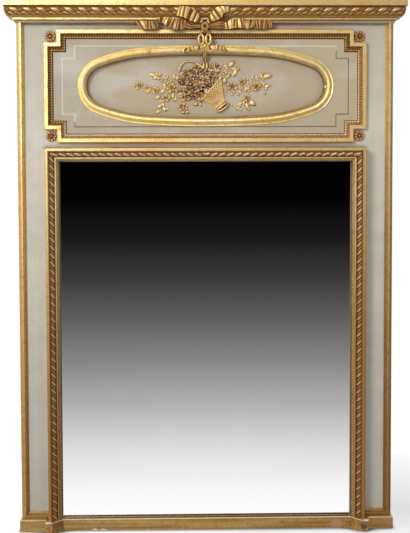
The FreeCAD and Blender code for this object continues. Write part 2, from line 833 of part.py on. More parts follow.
# ---------------------------------------------------------------- ribbon and flowers
def ribbon(sections):
    """A strip of ribbon through thin upright sections, each (x, h, z, height, lean in degrees).

    The z of a section is counted from the lower edge of the cornice.
    """
    rings = []
    count = len(sections)
    for index, (x, h, z, height, lean) in enumerate(sections):
        before = sections[max(index - 1, 0)]
        after = sections[min(index + 1, count - 1)]
        run = Vector(after[0] - before[0], before[1] - after[1], after[2] - before[2])
        slope = math.radians(lean)
        upright = RIGHT * math.sin(slope) + UP * math.cos(slope)
        normal = run.cross(upright).normalize() * (ribbon_thickness / 2)
        middle = place(x, h, bed_bottom_z + z)
        half = upright * (height / 2)
        rings.append([middle - half - normal, middle + half - normal,
                      middle + half + normal, middle - half + normal])
    return skinned(rings)


def ribbon_tail_left():
    """The left tail: it leaves the knot, droops, folds over and ends over the bed of the cornice."""
    return ribbon([(-8, 40, -16, 22, 0), (-40, 44, -12, 26, 0), (-62, 40, -10, 30, 4),
                   (-90, 50, -13, 35, 0), (-118, 42, -8, 30, 12), (-133, 48, -4, 26, 25),
                   (-150, 52, 0, 24, 30), (-166, 42, 0, 26, 20), (-178, 48, -9, 30, 0),
                   (-195, 44, -11, 30, 0), (-212, 48, -11, 27, 0), (-238, 40, -11, 24, -8)])


def ribbon_tail_right():
    """The right tail, folded another way than the left one."""
    return ribbon([(8, 40, -16, 22, 0), (36, 44, -14, 26, 0), (58, 40, -14, 26, 0),
                   (82, 46, -10, 30, 0), (98, 52, -3, 32, -4), (116, 50, -3, 32, 0),
                   (131, 52, -3, 32, 4), (140, 42, -8, 32, 0), (156, 50, -9, 34, -6),
                   (173, 44, -3, 24, -14), (190, 48, -7, 28, 0), (210, 44, -8, 28, 0),
                   (234, 40, -9, 26, 6)])


def ribbon_loop_left():
    """The left loop: up from the knot over the leaves and folded down in front."""
    front = front_reach - ribbon_thickness / 2
    return ribbon([(-6, front - 26, -10, 16, 44), (-16, front - 16, -1, 26, 40),
                   (-36.5, front - 6, 18, 42, 32), (-62.5, front - 2, 29, 42, 20),
                   (-91, front, 35.5, 37, 20)])


def ribbon_loop_right():
    """The right loop."""
    front = front_reach - ribbon_thickness / 2
    return ribbon([(5, front - 26, -10, 16, -46), (13, front - 16, -1, 24, -42),
                   (27, front - 6, 16, 40, -34), (48, front - 2, 30, 42, -22),
                   (76, front, 36, 36, -20)])


def ribbon_knot():
    """The knot in the middle of the bow, on a backing that stands on the frieze."""
    radius = ribbon_knot_radius
    centre = place(-1, knot_reach, knot_z)
    rings = []
    for depth, share in ((-1.0, 0.55), (0.0, 1.0), (0.7, 0.75), (1.0, 0.4)):
        rings.append(regular(centre + FRONT * (radius * depth), radius * share, knot_facets))
    backing = block((-radius * 0.7, radius * 0.6), (0, knot_reach), (panel_frame_top, bed_bottom_z))
    return joined([skinned(rings), backing])


def pendant_ribbon():
    """The hanging bow between the cornice and the basket, with its strap over the oval moulding."""
    frame_top = oval_rise + oval_half_height
    bead_z = frame_top - oval_bead_inset
    strap = ribbon_strip([(bow_x, 26, 203), (bow_x, 24, 170), (bow_x, 27, frame_top + 2),
                          (bow_x, oval_frame_reach + 2.5, frame_top - 17), (-1, 20.5, bead_z - 3),
                          (-1, 15, bead_z - 12.5), (-1, 2, 88), (-1, -3, 60)], pendant_width)
    loops = []
    for side in (-1, 1):
        middle = place(bow_x + side * bow_spread / 2, pendant_reach, bed_bottom_z - bow_drop)
        outer = flat(regular(middle, bow_radius, bow_facets)).extrude(FRONT * pendant_thickness)
        eye = flat(regular(middle + UP * bow_eye_lift, bow_eye_radius, bow_facets))
        loops.append(outer.cut(eye.extrude(FRONT * pendant_thickness)))
    return joined([strap] + loops)


def ribbon_strip(points, width):
    """A strap of constant width through (x, h, z), with z from the middle of the stepped frame."""
    rings = []
    for index, (x, h, z) in enumerate(points):
        before = points[max(index - 1, 0)]
        after = points[min(index + 1, len(points) - 1)]
        run = Vector(0, before[1] - after[1], after[2] - before[2]).normalize()
        normal = run.cross(RIGHT) * (ribbon_thickness / 2)
        half = RIGHT * (width / 2)
        middle = place(x, h, panel_centre_z + z)
        rings.append([middle - half - normal, middle + half - normal,
                      middle + half + normal, middle - half + normal])
    return skinned(rings)


def on_field(x, z, lift=0.0):
    """A point on the oval panel: x and z lie in the drawn oval, and follow the real one's two sizes."""
    return place(x * oval_half_width / drawn_half_width, oval_field_h + lift,
                 panel_centre_z + z * oval_half_height / drawn_half_height)


def leaf(base, tip, width):
    """A pointed leaf on the oval panel, from the stem at its base to its tip."""
    start, end = on_field(*base), on_field(*tip)
    side = FRONT.cross((end - start).normalize()) * (width / 2)
    near, far = start + (end - start) * 0.3, start + (end - start) * 0.7
    outline = [start, near + side, far + side * 0.8, end, far - side * 0.8, near - side]
    return flat(outline).extrude(FRONT * leaf_reach)


def bloom(x, z, radius, reach):
    """A flower head on the oval panel: five petals and a smaller flower in front of them."""
    centre = on_field(x, z)
    petals = scalloped(centre, radius, bloom_petals, reach * 0.55)
    heart = [regular(centre + FRONT * lift, radius * share, bloom_petals)
             for share, lift in ((0.55, 0.0), (0.4, reach))]
    return joined([petals, skinned(heart)])


def stem(points):
    """A stem through the given points, flat on the oval panel."""
    sides = [[], []]
    for index, (x, z) in enumerate(points):
        before = points[max(index - 1, 0)]
        after = points[min(index + 1, len(points) - 1)]
        run = Vector(after[0] - before[0], 0, after[1] - before[1]).normalize()
        for line, sign in zip(sides, (1, -1)):
            line.append((x - sign * run.z * stem_width / 2, z + sign * run.x * stem_width / 2))
    return flat_relief(sides[0] + sides[1][::-1], stem_reach)


def flat_relief(outline, reach):
    """A flat form of the given outline that lies on the oval panel."""
    return flat([on_field(x, z) for x, z in outline]).extrude(FRONT * reach)


def half_oval(centre, across, radius, depth):
    """The outline of a half-round basket section that lies flat on the oval panel."""
    corners = []
    for index in range(basket_facets + 1):
        turn = math.pi * index / basket_facets
        corners.append(centre - across * (radius * math.cos(turn)) + FRONT * (depth * math.sin(turn)))
    return corners


def flower_basket():
    """The tipped wicker basket: a flared half-round body, a waist and a foot ring."""
    rim, foot = on_field(35, 4), on_field(59.5, -72.5)
    profile = [(0.0, 44.0, 22.0), (0.08, 44.0, 22.0), (0.1, 39.0, 19.0), (0.4, 33.0, 16.0),
               (0.72, 20.0, 11.0), (0.84, 18.0, 10.0), (0.9, 26.0, 13.0), (1.0, 26.6, 13.0)]
    rings = []
    for share, radius, depth in profile:
        tilt = math.radians(basket_rim_tilt + (basket_foot_tilt - basket_rim_tilt) * share)
        across = RIGHT * math.cos(tilt) + UP * math.sin(tilt)
        rings.append(half_oval(rim + (foot - rim) * share, across, radius, depth))
    return skinned(rings)


def basket_handle():
    """The hoop of the basket, a bent strip that stands over the flowers."""
    return stem([(-97, 40), (-95, 60), (-84, 76), (-66, 87), (-44, 86), (-26, 78), (-14, 62)])


def flower_cluster():
    """The mass of flowers that spills from the basket, with the hoop over it."""
    heads = [(-88, 48, 15, 12), (-60, 40, 16, 16), (-32, 46, 15, 18), (-3, 50, 15, 15),
             (24, 50, 14, 14), (48, 52, 12, 10), (-82, 16, 16, 16), (-52, 10, 18, 22),
             (-20, 16, 17, 22), (-70, -16, 15, 18), (-40, -22, 16, 20), (-14, -12, 14, 20),
             (-62, -44, 12, 14)]
    backing = flat_relief([(-96, 42), (-88, -10), (-66, -44), (-40, -32), (-6, -16), (30, 40),
                           (50, 52), (-12, 62)], leaf_reach)
    return joined([backing, basket_handle()] + [bloom(*head) for head in heads])


def spray_left():
    """The stems, leaves and flower heads to the left of the basket."""
    pieces = [stem([(-80, 0), (-118, 12), (-150, 16), (-190, 4), (-225, 5)]),
              stem([(-118, 12), (-132, 26), (-150, 38)]),
              stem([(-84, -10), (-120, -20), (-146, -44), (-160, -72)]),
              stem([(-66, -28), (-90, -55), (-88, -70), (-74, -92)])]
    leaves = [((-149, 36), (-206, 52), 20), ((-149, 37), (-140, 66), 14),
              ((-120, 12), (-146, -14), 16), ((-148, -44), (-196, -34), 14),
              ((-158, -70), (-172, -102), 12), ((-156, -66), (-130, -94), 12),
              ((-118, -20), (-102, -44), 13)]
    heads = [(-126, -10, 14, 10), (-172, 4, 13, 9), (-228, 4, 14, 9), (-142, -40, 13, 10),
             (-90, -66, 15, 12), (-74, -93, 12, 8)]
    return joined(pieces + [leaf(*spot) for spot in leaves] + [bloom(*head) for head in heads])


def spray_right():
    """The stems, leaves and flower heads to the right of the basket."""
    pieces = [stem([(46, 50), (70, 48), (90, 54), (104, 64)]),
              stem([(70, 48), (82, 12), (120, 0), (150, -4), (184, 2), (226, 0)]),
              stem([(150, -4), (172, 28), (190, 38)]),
              stem([(120, 0), (138, -30), (166, -52)]),
              stem([(138, -30), (132, -60), (114, -78)])]
    leaves = [((88, 53), (106, 92), 16), ((100, 60), (136, 68), 14),
              ((74, 36), (96, 32), 14), ((178, 32), (242, 28), 22),
              ((206, 0), (246, 8), 12), ((130, -62), (152, -92), 14),
              ((118, -74), (96, -92), 12), ((126, -8), (100, -28), 13)]
    heads = [(92, -2, 16, 12), (126, 22, 14, 10), (174, 40, 13, 9), (180, 2, 17, 13),
             (138, -30, 15, 11), (170, -52, 13, 10)]
    links = [stem([(122, 0), (126, 22)])]
    return joined(pieces + links + [leaf(*spot) for spot in leaves] + [bloom(*head) for head in heads])


# ---------------------------------------------------------------- the whole assembly
def assembly():
    """Every node by its name."""
    left_stile = stile_left()
    levels = tenon_z_ranges()
    knot = ribbon_knot()
    cluster = flower_cluster()
    basket = flower_basket().cut(cluster)
    nodes = {
        "left_stile": left_stile,
        "right_stile": mirrored(left_stile),
        "frieze_rail": rail((panel_top_z, carcass_top_z), levels[0]),
        "middle_rail": rail((opening_top_z, panel_bottom_z), levels[1]),
        "upper_panel": upper_panel(),
        "raised_field": raised_field(),
        "oval_panel": oval_panel(),
        "mirror_glass": mirror_glass(),
        "glazing_blocks": glazing_blocks(),
        "base_rail": base_rail(),
        "mirror_frame_top": mirror_head(mirror_frame_steps()),
        "mirror_leaf_top": mirror_head(mirror_leaf_steps()),
        "mirror_beads": mirror_beads(),
        "panel_leaf": Part.makeCompound(stepped_runs(panel_leaf_steps())),
        "corner_rosettes": corner_rosettes(),
        "oval_beads": oval_beads(),
        "cornice_front": cornice_front(cornice_steps()),
        "cornice_leaf": cornice_leaf(),
        "cornice_bed": cornice_bed(),
        "top_board": top_board(),
        "ribbon_knot": knot,
        "ribbon_loop_left": ribbon_loop_left().cut(knot),
        "ribbon_loop_right": ribbon_loop_right().cut(knot),
        "ribbon_tail_left": ribbon_tail_left().cut(knot),
        "ribbon_tail_right": ribbon_tail_right().cut(knot),
        "pendant_ribbon": pendant_ribbon().cut([knot, cluster]),
        "flower_basket": basket,
        "flower_cluster": cluster,
        "spray_left": spray_left().cut([cluster, basket]),
        "spray_right": spray_right().cut([cluster, basket]),
        "back_screws": back_screws(),
    }
    pairs = {
        "plinth_block": plinth_block_left(),
        "corner_block": corner_block_left(),
        "mirror_frame": mirror_side(mirror_frame_steps()),
        "mirror_leaf": mirror_side(mirror_leaf_steps()),
        "border": border_left(),
        "border_foot": border_foot_left(),
        "cornice_return": cornice_left_return(cornice_steps()),
    }
    for name, piece in pairs.items():
        nodes[name + "_left"] = piece
        nodes[name + "_right"] = mirrored(piece)
    for name, piece in panel_frame_parts().items():
        nodes["panel_frame_" + name] = piece
    for level, sign_z in (("upper", 1), ("lower", -1)):
        for side, sign_x in (("left", -1), ("right", 1)):
            nodes[f"oval_frame_{level}_{side}"] = oval_quarter(oval_frame_steps(), sign_x, sign_z)
    for name in batten_levels():
        nodes["back_batten_" + name] = batten(name)
    for index in range(backboard_count):
        nodes[f"backboard_{index + 1}"] = backboard(index)
    return nodes


os.makedirs("parts", exist_ok=True)
for node_name, shape in assembly().items():
    shape.exportStep(f"parts/{node_name}.step")
    print(node_name, len(shape.Solids), "solids", round(shape.Volume / 1000.0, 1), "cm3",
          "valid" if shape.isValid() else "NOT VALID")
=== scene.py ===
"""Looks of the trumeau mirror: carving, gilding, faded paint, mirror plate, stage and camera."""

import json
import math

import bmesh
import bpy
import numpy as np
from mathutils import Matrix, Vector


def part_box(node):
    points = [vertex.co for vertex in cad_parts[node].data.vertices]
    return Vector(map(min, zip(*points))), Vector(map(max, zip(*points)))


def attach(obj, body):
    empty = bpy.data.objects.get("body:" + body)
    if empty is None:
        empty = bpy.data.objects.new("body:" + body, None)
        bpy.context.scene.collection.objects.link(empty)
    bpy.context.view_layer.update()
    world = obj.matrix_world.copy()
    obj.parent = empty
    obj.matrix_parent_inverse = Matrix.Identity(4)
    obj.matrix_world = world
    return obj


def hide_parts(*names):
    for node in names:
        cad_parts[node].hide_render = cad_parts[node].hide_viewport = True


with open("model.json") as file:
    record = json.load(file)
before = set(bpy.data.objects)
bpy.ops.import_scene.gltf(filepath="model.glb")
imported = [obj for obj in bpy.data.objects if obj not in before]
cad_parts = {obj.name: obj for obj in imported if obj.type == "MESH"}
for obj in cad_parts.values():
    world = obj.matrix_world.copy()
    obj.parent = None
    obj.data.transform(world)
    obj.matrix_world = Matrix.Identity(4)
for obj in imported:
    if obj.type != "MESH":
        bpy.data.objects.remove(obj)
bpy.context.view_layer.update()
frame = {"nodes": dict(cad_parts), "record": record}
rng = np.random.default_rng(7)

# ---------------------------------------------------------------- places, in millimetres
MM = 0.001
RIGHT = np.array([1.0, 0.0, 0.0])
FRONT = np.array([0.0, -1.0, 0.0])
UP = np.array([0.0, 0.0, 1.0])


def edge(node, corner, axis):
    """One side of a CAD node's box: corner 0 is the low one, 1 the high one; axis 0 to 2 for X to Z."""
    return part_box(node)[corner][axis] / MM


face_y = edge("left_stile", 0, 1)            # the painted face of the carcass
half_width = edge("right_stile", 1, 0)
frame_outer_x = edge("mirror_frame_right", 1, 0)
frame_foot_z = edge("mirror_frame_right", 0, 2)
frame_top_z = edge("mirror_frame_top", 1, 2)
frame_reach = face_y - edge("mirror_frame_top", 0, 1)
panel_frame_x = edge("panel_frame_right", 1, 0)
panel_frame_top = edge("panel_frame_top", 1, 2)
panel_frame_bottom = edge("panel_frame_bottom", 0, 2)
panel_frame_step = panel_frame_top - edge("panel_frame_right", 1, 2)
cornice_low_z = edge("cornice_bed", 0, 2)
cornice_seat = face_y - edge("top_board", 0, 1)
cornice_overhang = edge("cornice_front", 1, 0) - half_width
wall_h = face_y - edge("top_board", 1, 1)
oval_half_width = edge("oval_frame_upper_right", 1, 0)
oval_top_z = edge("oval_frame_upper_right", 1, 2)
oval_centre_z = edge("oval_frame_upper_right", 0, 2)
oval_half_height = oval_top_z - oval_centre_z
oval_field_h = -12.0
root_h = oval_field_h - 4                  # the carving on the field ends inside the panel
plinth_zone = 160.0                         # pieces lower than this have the worn gilding of the foot

# Slopes that carry the carving, as (distance from the outer line, distance from the painted face)
mirror_slope = ((12.0, frame_reach - 4.5), (30.0, frame_reach - 25.0))
mirror_bead_spot = (41.75, frame_reach - 38.25)
panel_slope = ((14.5, 10.0), (32.5, 2.2))
cornice_leaf_low = cornice_low_z + 20
cornice_slope = ((cornice_overhang - 14, cornice_leaf_low), (cornice_overhang - 7, cornice_leaf_low + 30))
oval_bead_spot = (30.0, 14.0)
# The dark line beside the glass is painted shade on the mirror frame's sight wall.
sight_inset = 40.6                          # from the frame's outer line to the dark line beside the glass

# Pitches of the carved patterns, measured in the photograph, and the sizes of the beads
side_twist_pitch = {"left": 28.5, "right": 29.4}
top_twist_pitch = 28.3
mirror_bead_pitch, mirror_bead_radius, mirror_bead_stretch = 7.6, 2.4, 1.8
oval_bead_pitch, oval_bead_radius, oval_rod_radius = 7.4, 2.7, 3.1
panel_leaf_pitch = 9.2
cornice_leaf_pitch = 48.0


def place(x, h, z):
    """The point at x, h in front of the painted face, at height z."""
    return np.array([x, face_y - h, z], float)


def unit(vector):
    return vector / np.linalg.norm(vector)


# ---------------------------------------------------------------- mesh helpers
class Shape:
    """Points and faces gathered for one mesh, in millimetres, each point with its depth of hollow."""

    def __init__(self):
        self.points, self.hollows, self.faces, self.count = [], [], [], 0

    def add(self, points, faces, hollow=0.0):
        points = np.asarray(points, float).reshape(-1, 3)
        self.points.append(points)
        self.hollows.append(np.broadcast_to(np.asarray(hollow, float).reshape(-1), (len(points),)))
        self.faces += [[self.count + index for index in face] for face in faces]
        self.count += len(points)

    def make(self, name, material, nodes=(), smooth=50.0, deepest=-100.0):
        """The Blender object, which rides on the root and stands for the given nodes.

        No point lies further behind the painted face than deepest.
        """
        points = np.concatenate(self.points)
        points[:, 1] = np.minimum(points[:, 1], face_y - deepest)
        mesh = bpy.data.meshes.new(name)
        mesh.from_pydata((points * MM).tolist(), [], self.faces)
        layer = mesh.attributes.new("hollow", "FLOAT", "POINT")
        layer.data.foreach_set("value", np.concatenate(self.hollows).astype(np.float32))
        tidy = bmesh.new()
        tidy.from_mesh(mesh)
        bmesh.ops.recalc_face_normals(tidy, faces=tidy.faces)
        tidy.to_mesh(mesh)
        tidy.free()
        mesh.polygons.foreach_set("use_smooth", [True] * len(mesh.polygons))
        mesh.set_sharp_from_angle(angle=math.radians(smooth))
        mesh.materials.append(material)
        piece = bpy.data.objects.new(name, mesh)
        bpy.context.scene.collection.objects.link(piece)
        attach(piece, "root")
        if nodes:
            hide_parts(*nodes)


def loop_faces(rows, ring):
    """Quads between rows of closed rings, and a cap at both ends."""
    faces = []
    for row in range(rows - 1):
        for index in range(ring):
            after = (index + 1) % ring
            faces.append((row * ring + index, row * ring + after, (row + 1) * ring + after,
                          (row + 1) * ring + index))
    faces.append(tuple(range(ring))[::-1])
    faces.append(tuple((rows - 1) * ring + index for index in range(ring)))
    return faces


def sheet_solid(front, back):
    """Two grids of the same size closed round their border: points and faces."""
    rows, columns = front.shape[:2]
    points = np.concatenate([front.reshape(-1, 3), back.reshape(-1, 3)])
    far = rows * columns
    faces = []
    for row in range(rows - 1):
        for column in range(columns - 1):
            a = row * columns + column
            quad = (a, a + 1, a + columns + 1, a + columns)
            faces.append(quad)
            faces.append(tuple(far + index for index in quad[::-1]))
    border = [(0, c) for c in range(columns)] + [(r, columns - 1) for r in range(1, rows)]
    border += [(rows - 1, c) for c in range(columns - 2, -1, -1)] + [(r, 0) for r in range(rows - 2, 0, -1)]
    flat = [r * columns + c for r, c in border]
    for index, here in enumerate(flat):
        after = flat[(index + 1) % len(flat)]
        faces.append((here, far + here, far + after, after))
    return points, faces


def smooth_path(points, count):
    """Points spread evenly along a smooth curve through the given ones."""
    knots = np.asarray(points, float)
    padded = np.vstack([2 * knots[0] - knots[1], knots, 2 * knots[-1] - knots[-2]])
    dense = []
    for a, b, c, d in zip(padded, padded[1:], padded[2:], padded[3:]):
        t = np.linspace(0, 1, 12, endpoint=False)[:, None]
        dense.append(0.5 * (2 * b + (c - a) * t + (2 * a - 5 * b + 4 * c - d) * t ** 2
                            + (3 * b - a - 3 * c + d) * t ** 3))
    dense = np.vstack(dense + [knots[-1:]])
    reach = np.concatenate([[0], np.cumsum(np.linalg.norm(np.diff(dense, axis=0), axis=1))])
    spots = np.linspace(0, reach[-1], count)
    return np.column_stack([np.interp(spots, reach, dense[:, axis]) for axis in range(knots.shape[1])])


def tube(shape, points, radii, sides=8, hollow=0.0):
    """A round rod along points."""
    points = np.asarray(points, float)
    radii = np.broadcast_to(np.asarray(radii, float), (len(points),))
    run = np.gradient(points, axis=0)
    rings = []
    for spot, along, radius in zip(points, run, radii):
        along = unit(along)
        side = np.cross(along, FRONT)
        side = unit(side) if np.linalg.norm(side) > 0.2 else RIGHT
        out = unit(np.cross(side, along))
        for turn in np.linspace(0, 2 * math.pi, sides, endpoint=False):
            rings.append(spot + side * (radius * math.cos(turn)) + out * (radius * math.sin(turn)))
    shape.add(rings, loop_faces(len(points), sides), hollow)


def ball(shape, centre, radius, out=FRONT, squash=1.0, sides=8, rings=5, hollow=0.0):
    """A bead, flattened along out by squash."""
    centre, out = np.asarray(centre, float), unit(np.asarray(out, float))
    side = unit(np.cross(out, UP if abs(out[2]) < 0.9 else RIGHT))
    other = np.cross(out, side)
    points = [centre - out * radius * squash]
    for ring in range(1, rings):
        tilt = math.pi * ring / rings
        for turn in np.linspace(0, 2 * math.pi, sides, endpoint=False):
            points.append(centre - out * (radius * squash * math.cos(tilt))
                          + (side * math.cos(turn) + other * math.sin(turn)) * (radius * math.sin(tilt)))
    points.append(centre + out * radius * squash)
    faces = [(0, 1 + (i + 1) % sides, 1 + i) for i in range(sides)]
    for ring in range(rings - 2):
        low = 1 + ring * sides
        faces += [(low + i, low + (i + 1) % sides, low + sides + (i + 1) % sides, low + sides + i)
                  for i in range(sides)]
    last = len(points) - 1
    low = last - sides
    faces += [(low + i, low + (i + 1) % sides, last) for i in range(sides)]
    shape.add(points, faces, hollow)


# ---------------------------------------------------------------- carved strips
def carved_strip(shape, start, end, across, rise, slope, turns, carve, step=1.3, rows=18):
    """A strip on a moulding's slope, its front shaped by carve(s, v, width) and mitred at its ends."""
    along = unit(end - start)
    length = np.linalg.norm(end - start)
    low, high = np.array(slope[0]), np.array(slope[1])
    span = high - low
    width = np.linalg.norm(span)
    normal = np.array([-span[1], span[0]]) / width
    if normal @ np.array([abs(span[1]), abs(span[0])]) < 0:
        normal = -normal
    t = np.linspace(0, 1, rows)
    spread = low[0] + t * span[0]
    share = np.linspace(0, 1, max(int(length / step), 8))[:, None]
    first, last = spread * turns[0], length - spread * turns[1]
    s = first + (last - first) * share
    height, hollow = carve(s - length / 2, np.broadcast_to(t * width, s.shape), width)
    u = low[0] + t * span[0] + normal[0] * height
    w = low[1] + t * span[1] + normal[1] * height

    def solid(s, u, w):
        return start + along * s[..., None] + across * u[..., None] + rise * w[..., None]

    front = solid(s, u, w)
    sunk = 0.7
    ends = [(-1, high), (0, low)]
    under = [solid(s[:, column], np.full(len(s), spot[0] - normal[0] * sunk),
                   np.full(len(s), spot[1] - normal[1] * sunk)) for column, spot in ends]
    rings = np.concatenate([front, np.stack(under, axis=1)], axis=1)
    depth = np.concatenate([hollow, np.ones((len(s), 2))], axis=1)
    shape.add(rings, loop_faces(len(s), rows + 2), depth)


def lens(x, c, lean, length, width):
    """How far a spot lies inside a pointed leaf: 1 on its midrib, 0 at its edge."""
    a = x * math.cos(lean) + c * math.sin(lean)
    b = -x * math.sin(lean) + c * math.cos(lean)
    half = width * np.clip(1 - (a / length) ** 2, 1e-3, None)
    inside = np.clip(1 - (b / half) ** 2, 0, None)
    inside[np.abs(a) >= length] = 0
    return inside, a, b


def twist(pitch, lean_degrees, sign=0):
    """The ribbon twist of the mirror frame. Sign 0 leans both ways from the middle."""
    lean = math.radians(lean_degrees)

    def carve(s, v, width):
        side = np.where(s < 0, 1.0, -1.0) if sign == 0 else np.full(s.shape, float(sign))
        s = np.abs(s) * -1 if sign == 0 else s * sign
        c = v - width / 2
        height = np.full(s.shape, 0.4)
        for shift in (-1, 0, 1):
            x = s - (np.round(s / pitch) + shift) * pitch
            main, a, b = lens(x, c, lean, 15.5, 4.9)
            vein = 0.9 * np.exp(-(b / 0.9) ** 2) * (np.abs(a) < 11)
            height = np.maximum(height, 5.2 * np.sqrt(main) - vein * (main > 0.1))
            between, _, _ = lens(x - pitch / 2, c, lean, 14.0, 2.3)
            height = np.maximum(height, 2.5 * np.sqrt(between))
        edge_fade = np.clip(np.minimum(v, width - v) / 1.2, 0, 1)
        height = height * edge_fade
        return height, np.clip(1.0 - height / 3.6, 0, 1)
    return carve


def heart_leaves(pitch, dark=1.0):
    """Pits with a slanted rib in each, over a scalloped row. Dark is how dark the pits are painted, as shade.
    """
    def carve(s, v, width):
        t = v / width
        phase = (s / pitch + 0.35 * t) % 1.0 - 0.5
        rib = 2.3 * np.exp(-(phase / 0.12) ** 2) * np.clip((0.6 - t) / 0.1, 0, 1)
        scallop = (s / pitch + 0.27) % 1.0 - 0.5
        middle = 0.7 - 0.12 * (2 * scallop) ** 2
        swell = 0.75 + 0.25 * np.cos(2 * math.pi * scallop)
        row = 2.5 * np.sqrt(np.clip(1 - ((t - middle) / 0.13) ** 2, 0, 1)) * swell
        edges = np.clip((1 - t) / 0.04, 0, 1) * np.clip(t / 0.04, 0, 1)
        hollow = dark * np.clip(1.1 - np.maximum(rib, row) / 2.6, 0.1, 1)
        return np.maximum(np.maximum(rib, row), 0.1) * edges, hollow
    return carve


def block(a, half_a, b, half_b):
    """1 in the middle of a rounded block, 0 from its edge outwards."""
    return np.clip(1 - np.abs(a / half_a) ** 3, 0, 1) * np.clip(1 - np.abs(b / half_b) ** 3, 0, 1)


def big_leaves(pitch):
    """The cornice's carving, turned round in the middle: slanted lozenges over a row of small curls."""
    curls = ((-14, -4.6, 10, 3.0, 4.8), (9, -4.2, 12, 2.2, 3.8), (-2, -9.0, 9, 1.9, 3.4),
             (21, -9.2, 8, 2.0, 3.4))

    def carve(s, v, width):
        s = np.abs(s) * -1
        c = v - width / 2
        height = np.full(s.shape, 0.5)
        for shift in (-1, 0, 1):
            x = s - (np.round(s / pitch) + shift) * pitch
            slant = x + 0.9 * (c - 6.4)
            lozenge = block(slant, 13.5, c - 6.4, 7.0)
            vein = 0.9 * np.exp(-((slant + 5) / 1.3) ** 2) * lozenge
            height = np.maximum(height, 6.6 * np.sqrt(lozenge) - vein)
            slant = x - pitch / 2 + 0.9 * (c - 6.4)
            between = block(slant, 8.0, c - 7.0, 5.2)
            flutes = 0.6 + 0.4 * np.cos(c * 2 * math.pi / 4.2)
            height = np.maximum(height, 3.4 * np.sqrt(between) * flutes)
            for x0, c0, length, thick, rise in curls:
                bent = c - c0 - 0.014 * (x - x0) ** 2
                low, _, _ = lens(x - x0, bent, math.radians(-10), length, thick)
                height = np.maximum(height, rise * np.sqrt(low))
        line = 1.8 * np.exp(-((c + 13.0) / 1.0) ** 2)
        height = np.maximum(height, line) * np.clip(np.minimum(v, width - v) / 1.2, 0, 1)
        return height, np.clip(0.95 - height / 4.2, 0, 1)
    return carve


def mirror_frame_carving(material, bead_material):
    """The twist strips and the bead rows of the mirror frame."""
    foot, top = place(-frame_outer_x, 0, frame_foot_z), place(-frame_outer_x, 0, frame_top_z)
    for name, sign in (("left", 1), ("right", -1)):
        side = Shape()
        flip = np.array([sign, 1, 1])
        carved_strip(side, foot * flip, top * flip, RIGHT * sign, FRONT, mirror_slope, (0, 1),
                     twist(side_twist_pitch[name], -46.0, 1))
        side.make(f"carved_twist_{name}", material, [f"mirror_leaf_{name}"])
    head = Shape()
    leaves = twist(top_twist_pitch, 34.0)
    carved_strip(head, top, top * np.array([-1, 1, 1]), -UP, FRONT, mirror_slope, (1, 1), leaves)
    head.make("carved_twist_top", material, ["mirror_leaf_top"])

    beads = Shape()
    inset, h = mirror_bead_spot
    x, top_z = frame_outer_x - inset, frame_top_z - inset
    for spot in np.arange(frame_foot_z + mirror_bead_pitch / 2, top_z, mirror_bead_pitch):
        for side in (-1, 1):
            ball(beads, place(side * x, h, spot), mirror_bead_radius, FRONT + RIGHT * side, mirror_bead_stretch)
    for spot in np.arange(-x, x + 1, mirror_bead_pitch):
        ball(beads, place(spot, h, top_z), mirror_bead_radius, FRONT + UP, mirror_bead_stretch)
    beads.make("carved_mirror_beads", bead_material, ["mirror_beads"], smooth=80)


def stepped_outline():
    """The corners of the stepped frame, in order."""
    middle = (panel_frame_top + panel_frame_bottom) / 2
    outer_z = (panel_frame_top - panel_frame_bottom) / 2
    outer_x, step = panel_frame_x, panel_frame_step
    quarter = [(outer_x, outer_z - step), (outer_x - step, outer_z - step), (outer_x - step, outer_z)]
    outline = quarter + [(-x, z) for x, z in reversed(quarter)]
    outline += [(-x, -z) for x, z in quarter] + [(x, -z) for x, z in reversed(quarter)]
    return [(x, middle + z) for x, z in outline]


def panel_frame_carving(material, rubbed_and_lit_material):
    """The leaf strips of the stepped frame. Those at its foot and on its right are paler: rubbed, and painted
    light.
    """
    strips, rubbed_and_lit_strips = Shape(), Shape()
    outline = stepped_outline()
    count = len(outline)
    for index in range(count):
        corners = [np.array(outline[(index + shift) % count]) for shift in (-1, 0, 1, 2)]
        hollows = []
        for before, here, after in (corners[0:3], corners[1:4]):
            first, second = here - before, after - here
            hollows.append(first[0] * second[1] - first[1] * second[0] < 0)
        start, end = place(corners[1][0], 0, corners[1][1]), place(corners[2][0], 0, corners[2][1])
        along = unit(end - start)
        across = np.cross(FRONT, along)
        if np.cross(along, across) @ FRONT < 0:
            across = -across
        turns = [-1 if hollow else 1 for hollow in hollows]
        at_foot = min(start[2], end[2]) < panel_frame_bottom + 1
        at_right = min(start[0], end[0]) > panel_frame_x - 1
        # Paler strips: rubbed gilding, and painted light where the strips face the lamp.
        rubbed_and_lit = at_foot or at_right or (start[0] > 0 and max(start[2], end[2]) < oval_centre_z)
        leaves = heart_leaves(panel_leaf_pitch, 0.7 if rubbed_and_lit else 1.0)
        carved_strip(rubbed_and_lit_strips if rubbed_and_lit else strips, start, end, across, FRONT, panel_slope, turns, leaves,
                     step=0.9, rows=16)
    strips.make("carved_panel_leaves", material, ["panel_leaf"])
    rubbed_and_lit_strips.make("carved_panel_leaves_rubbed_and_lit", rubbed_and_lit_material)


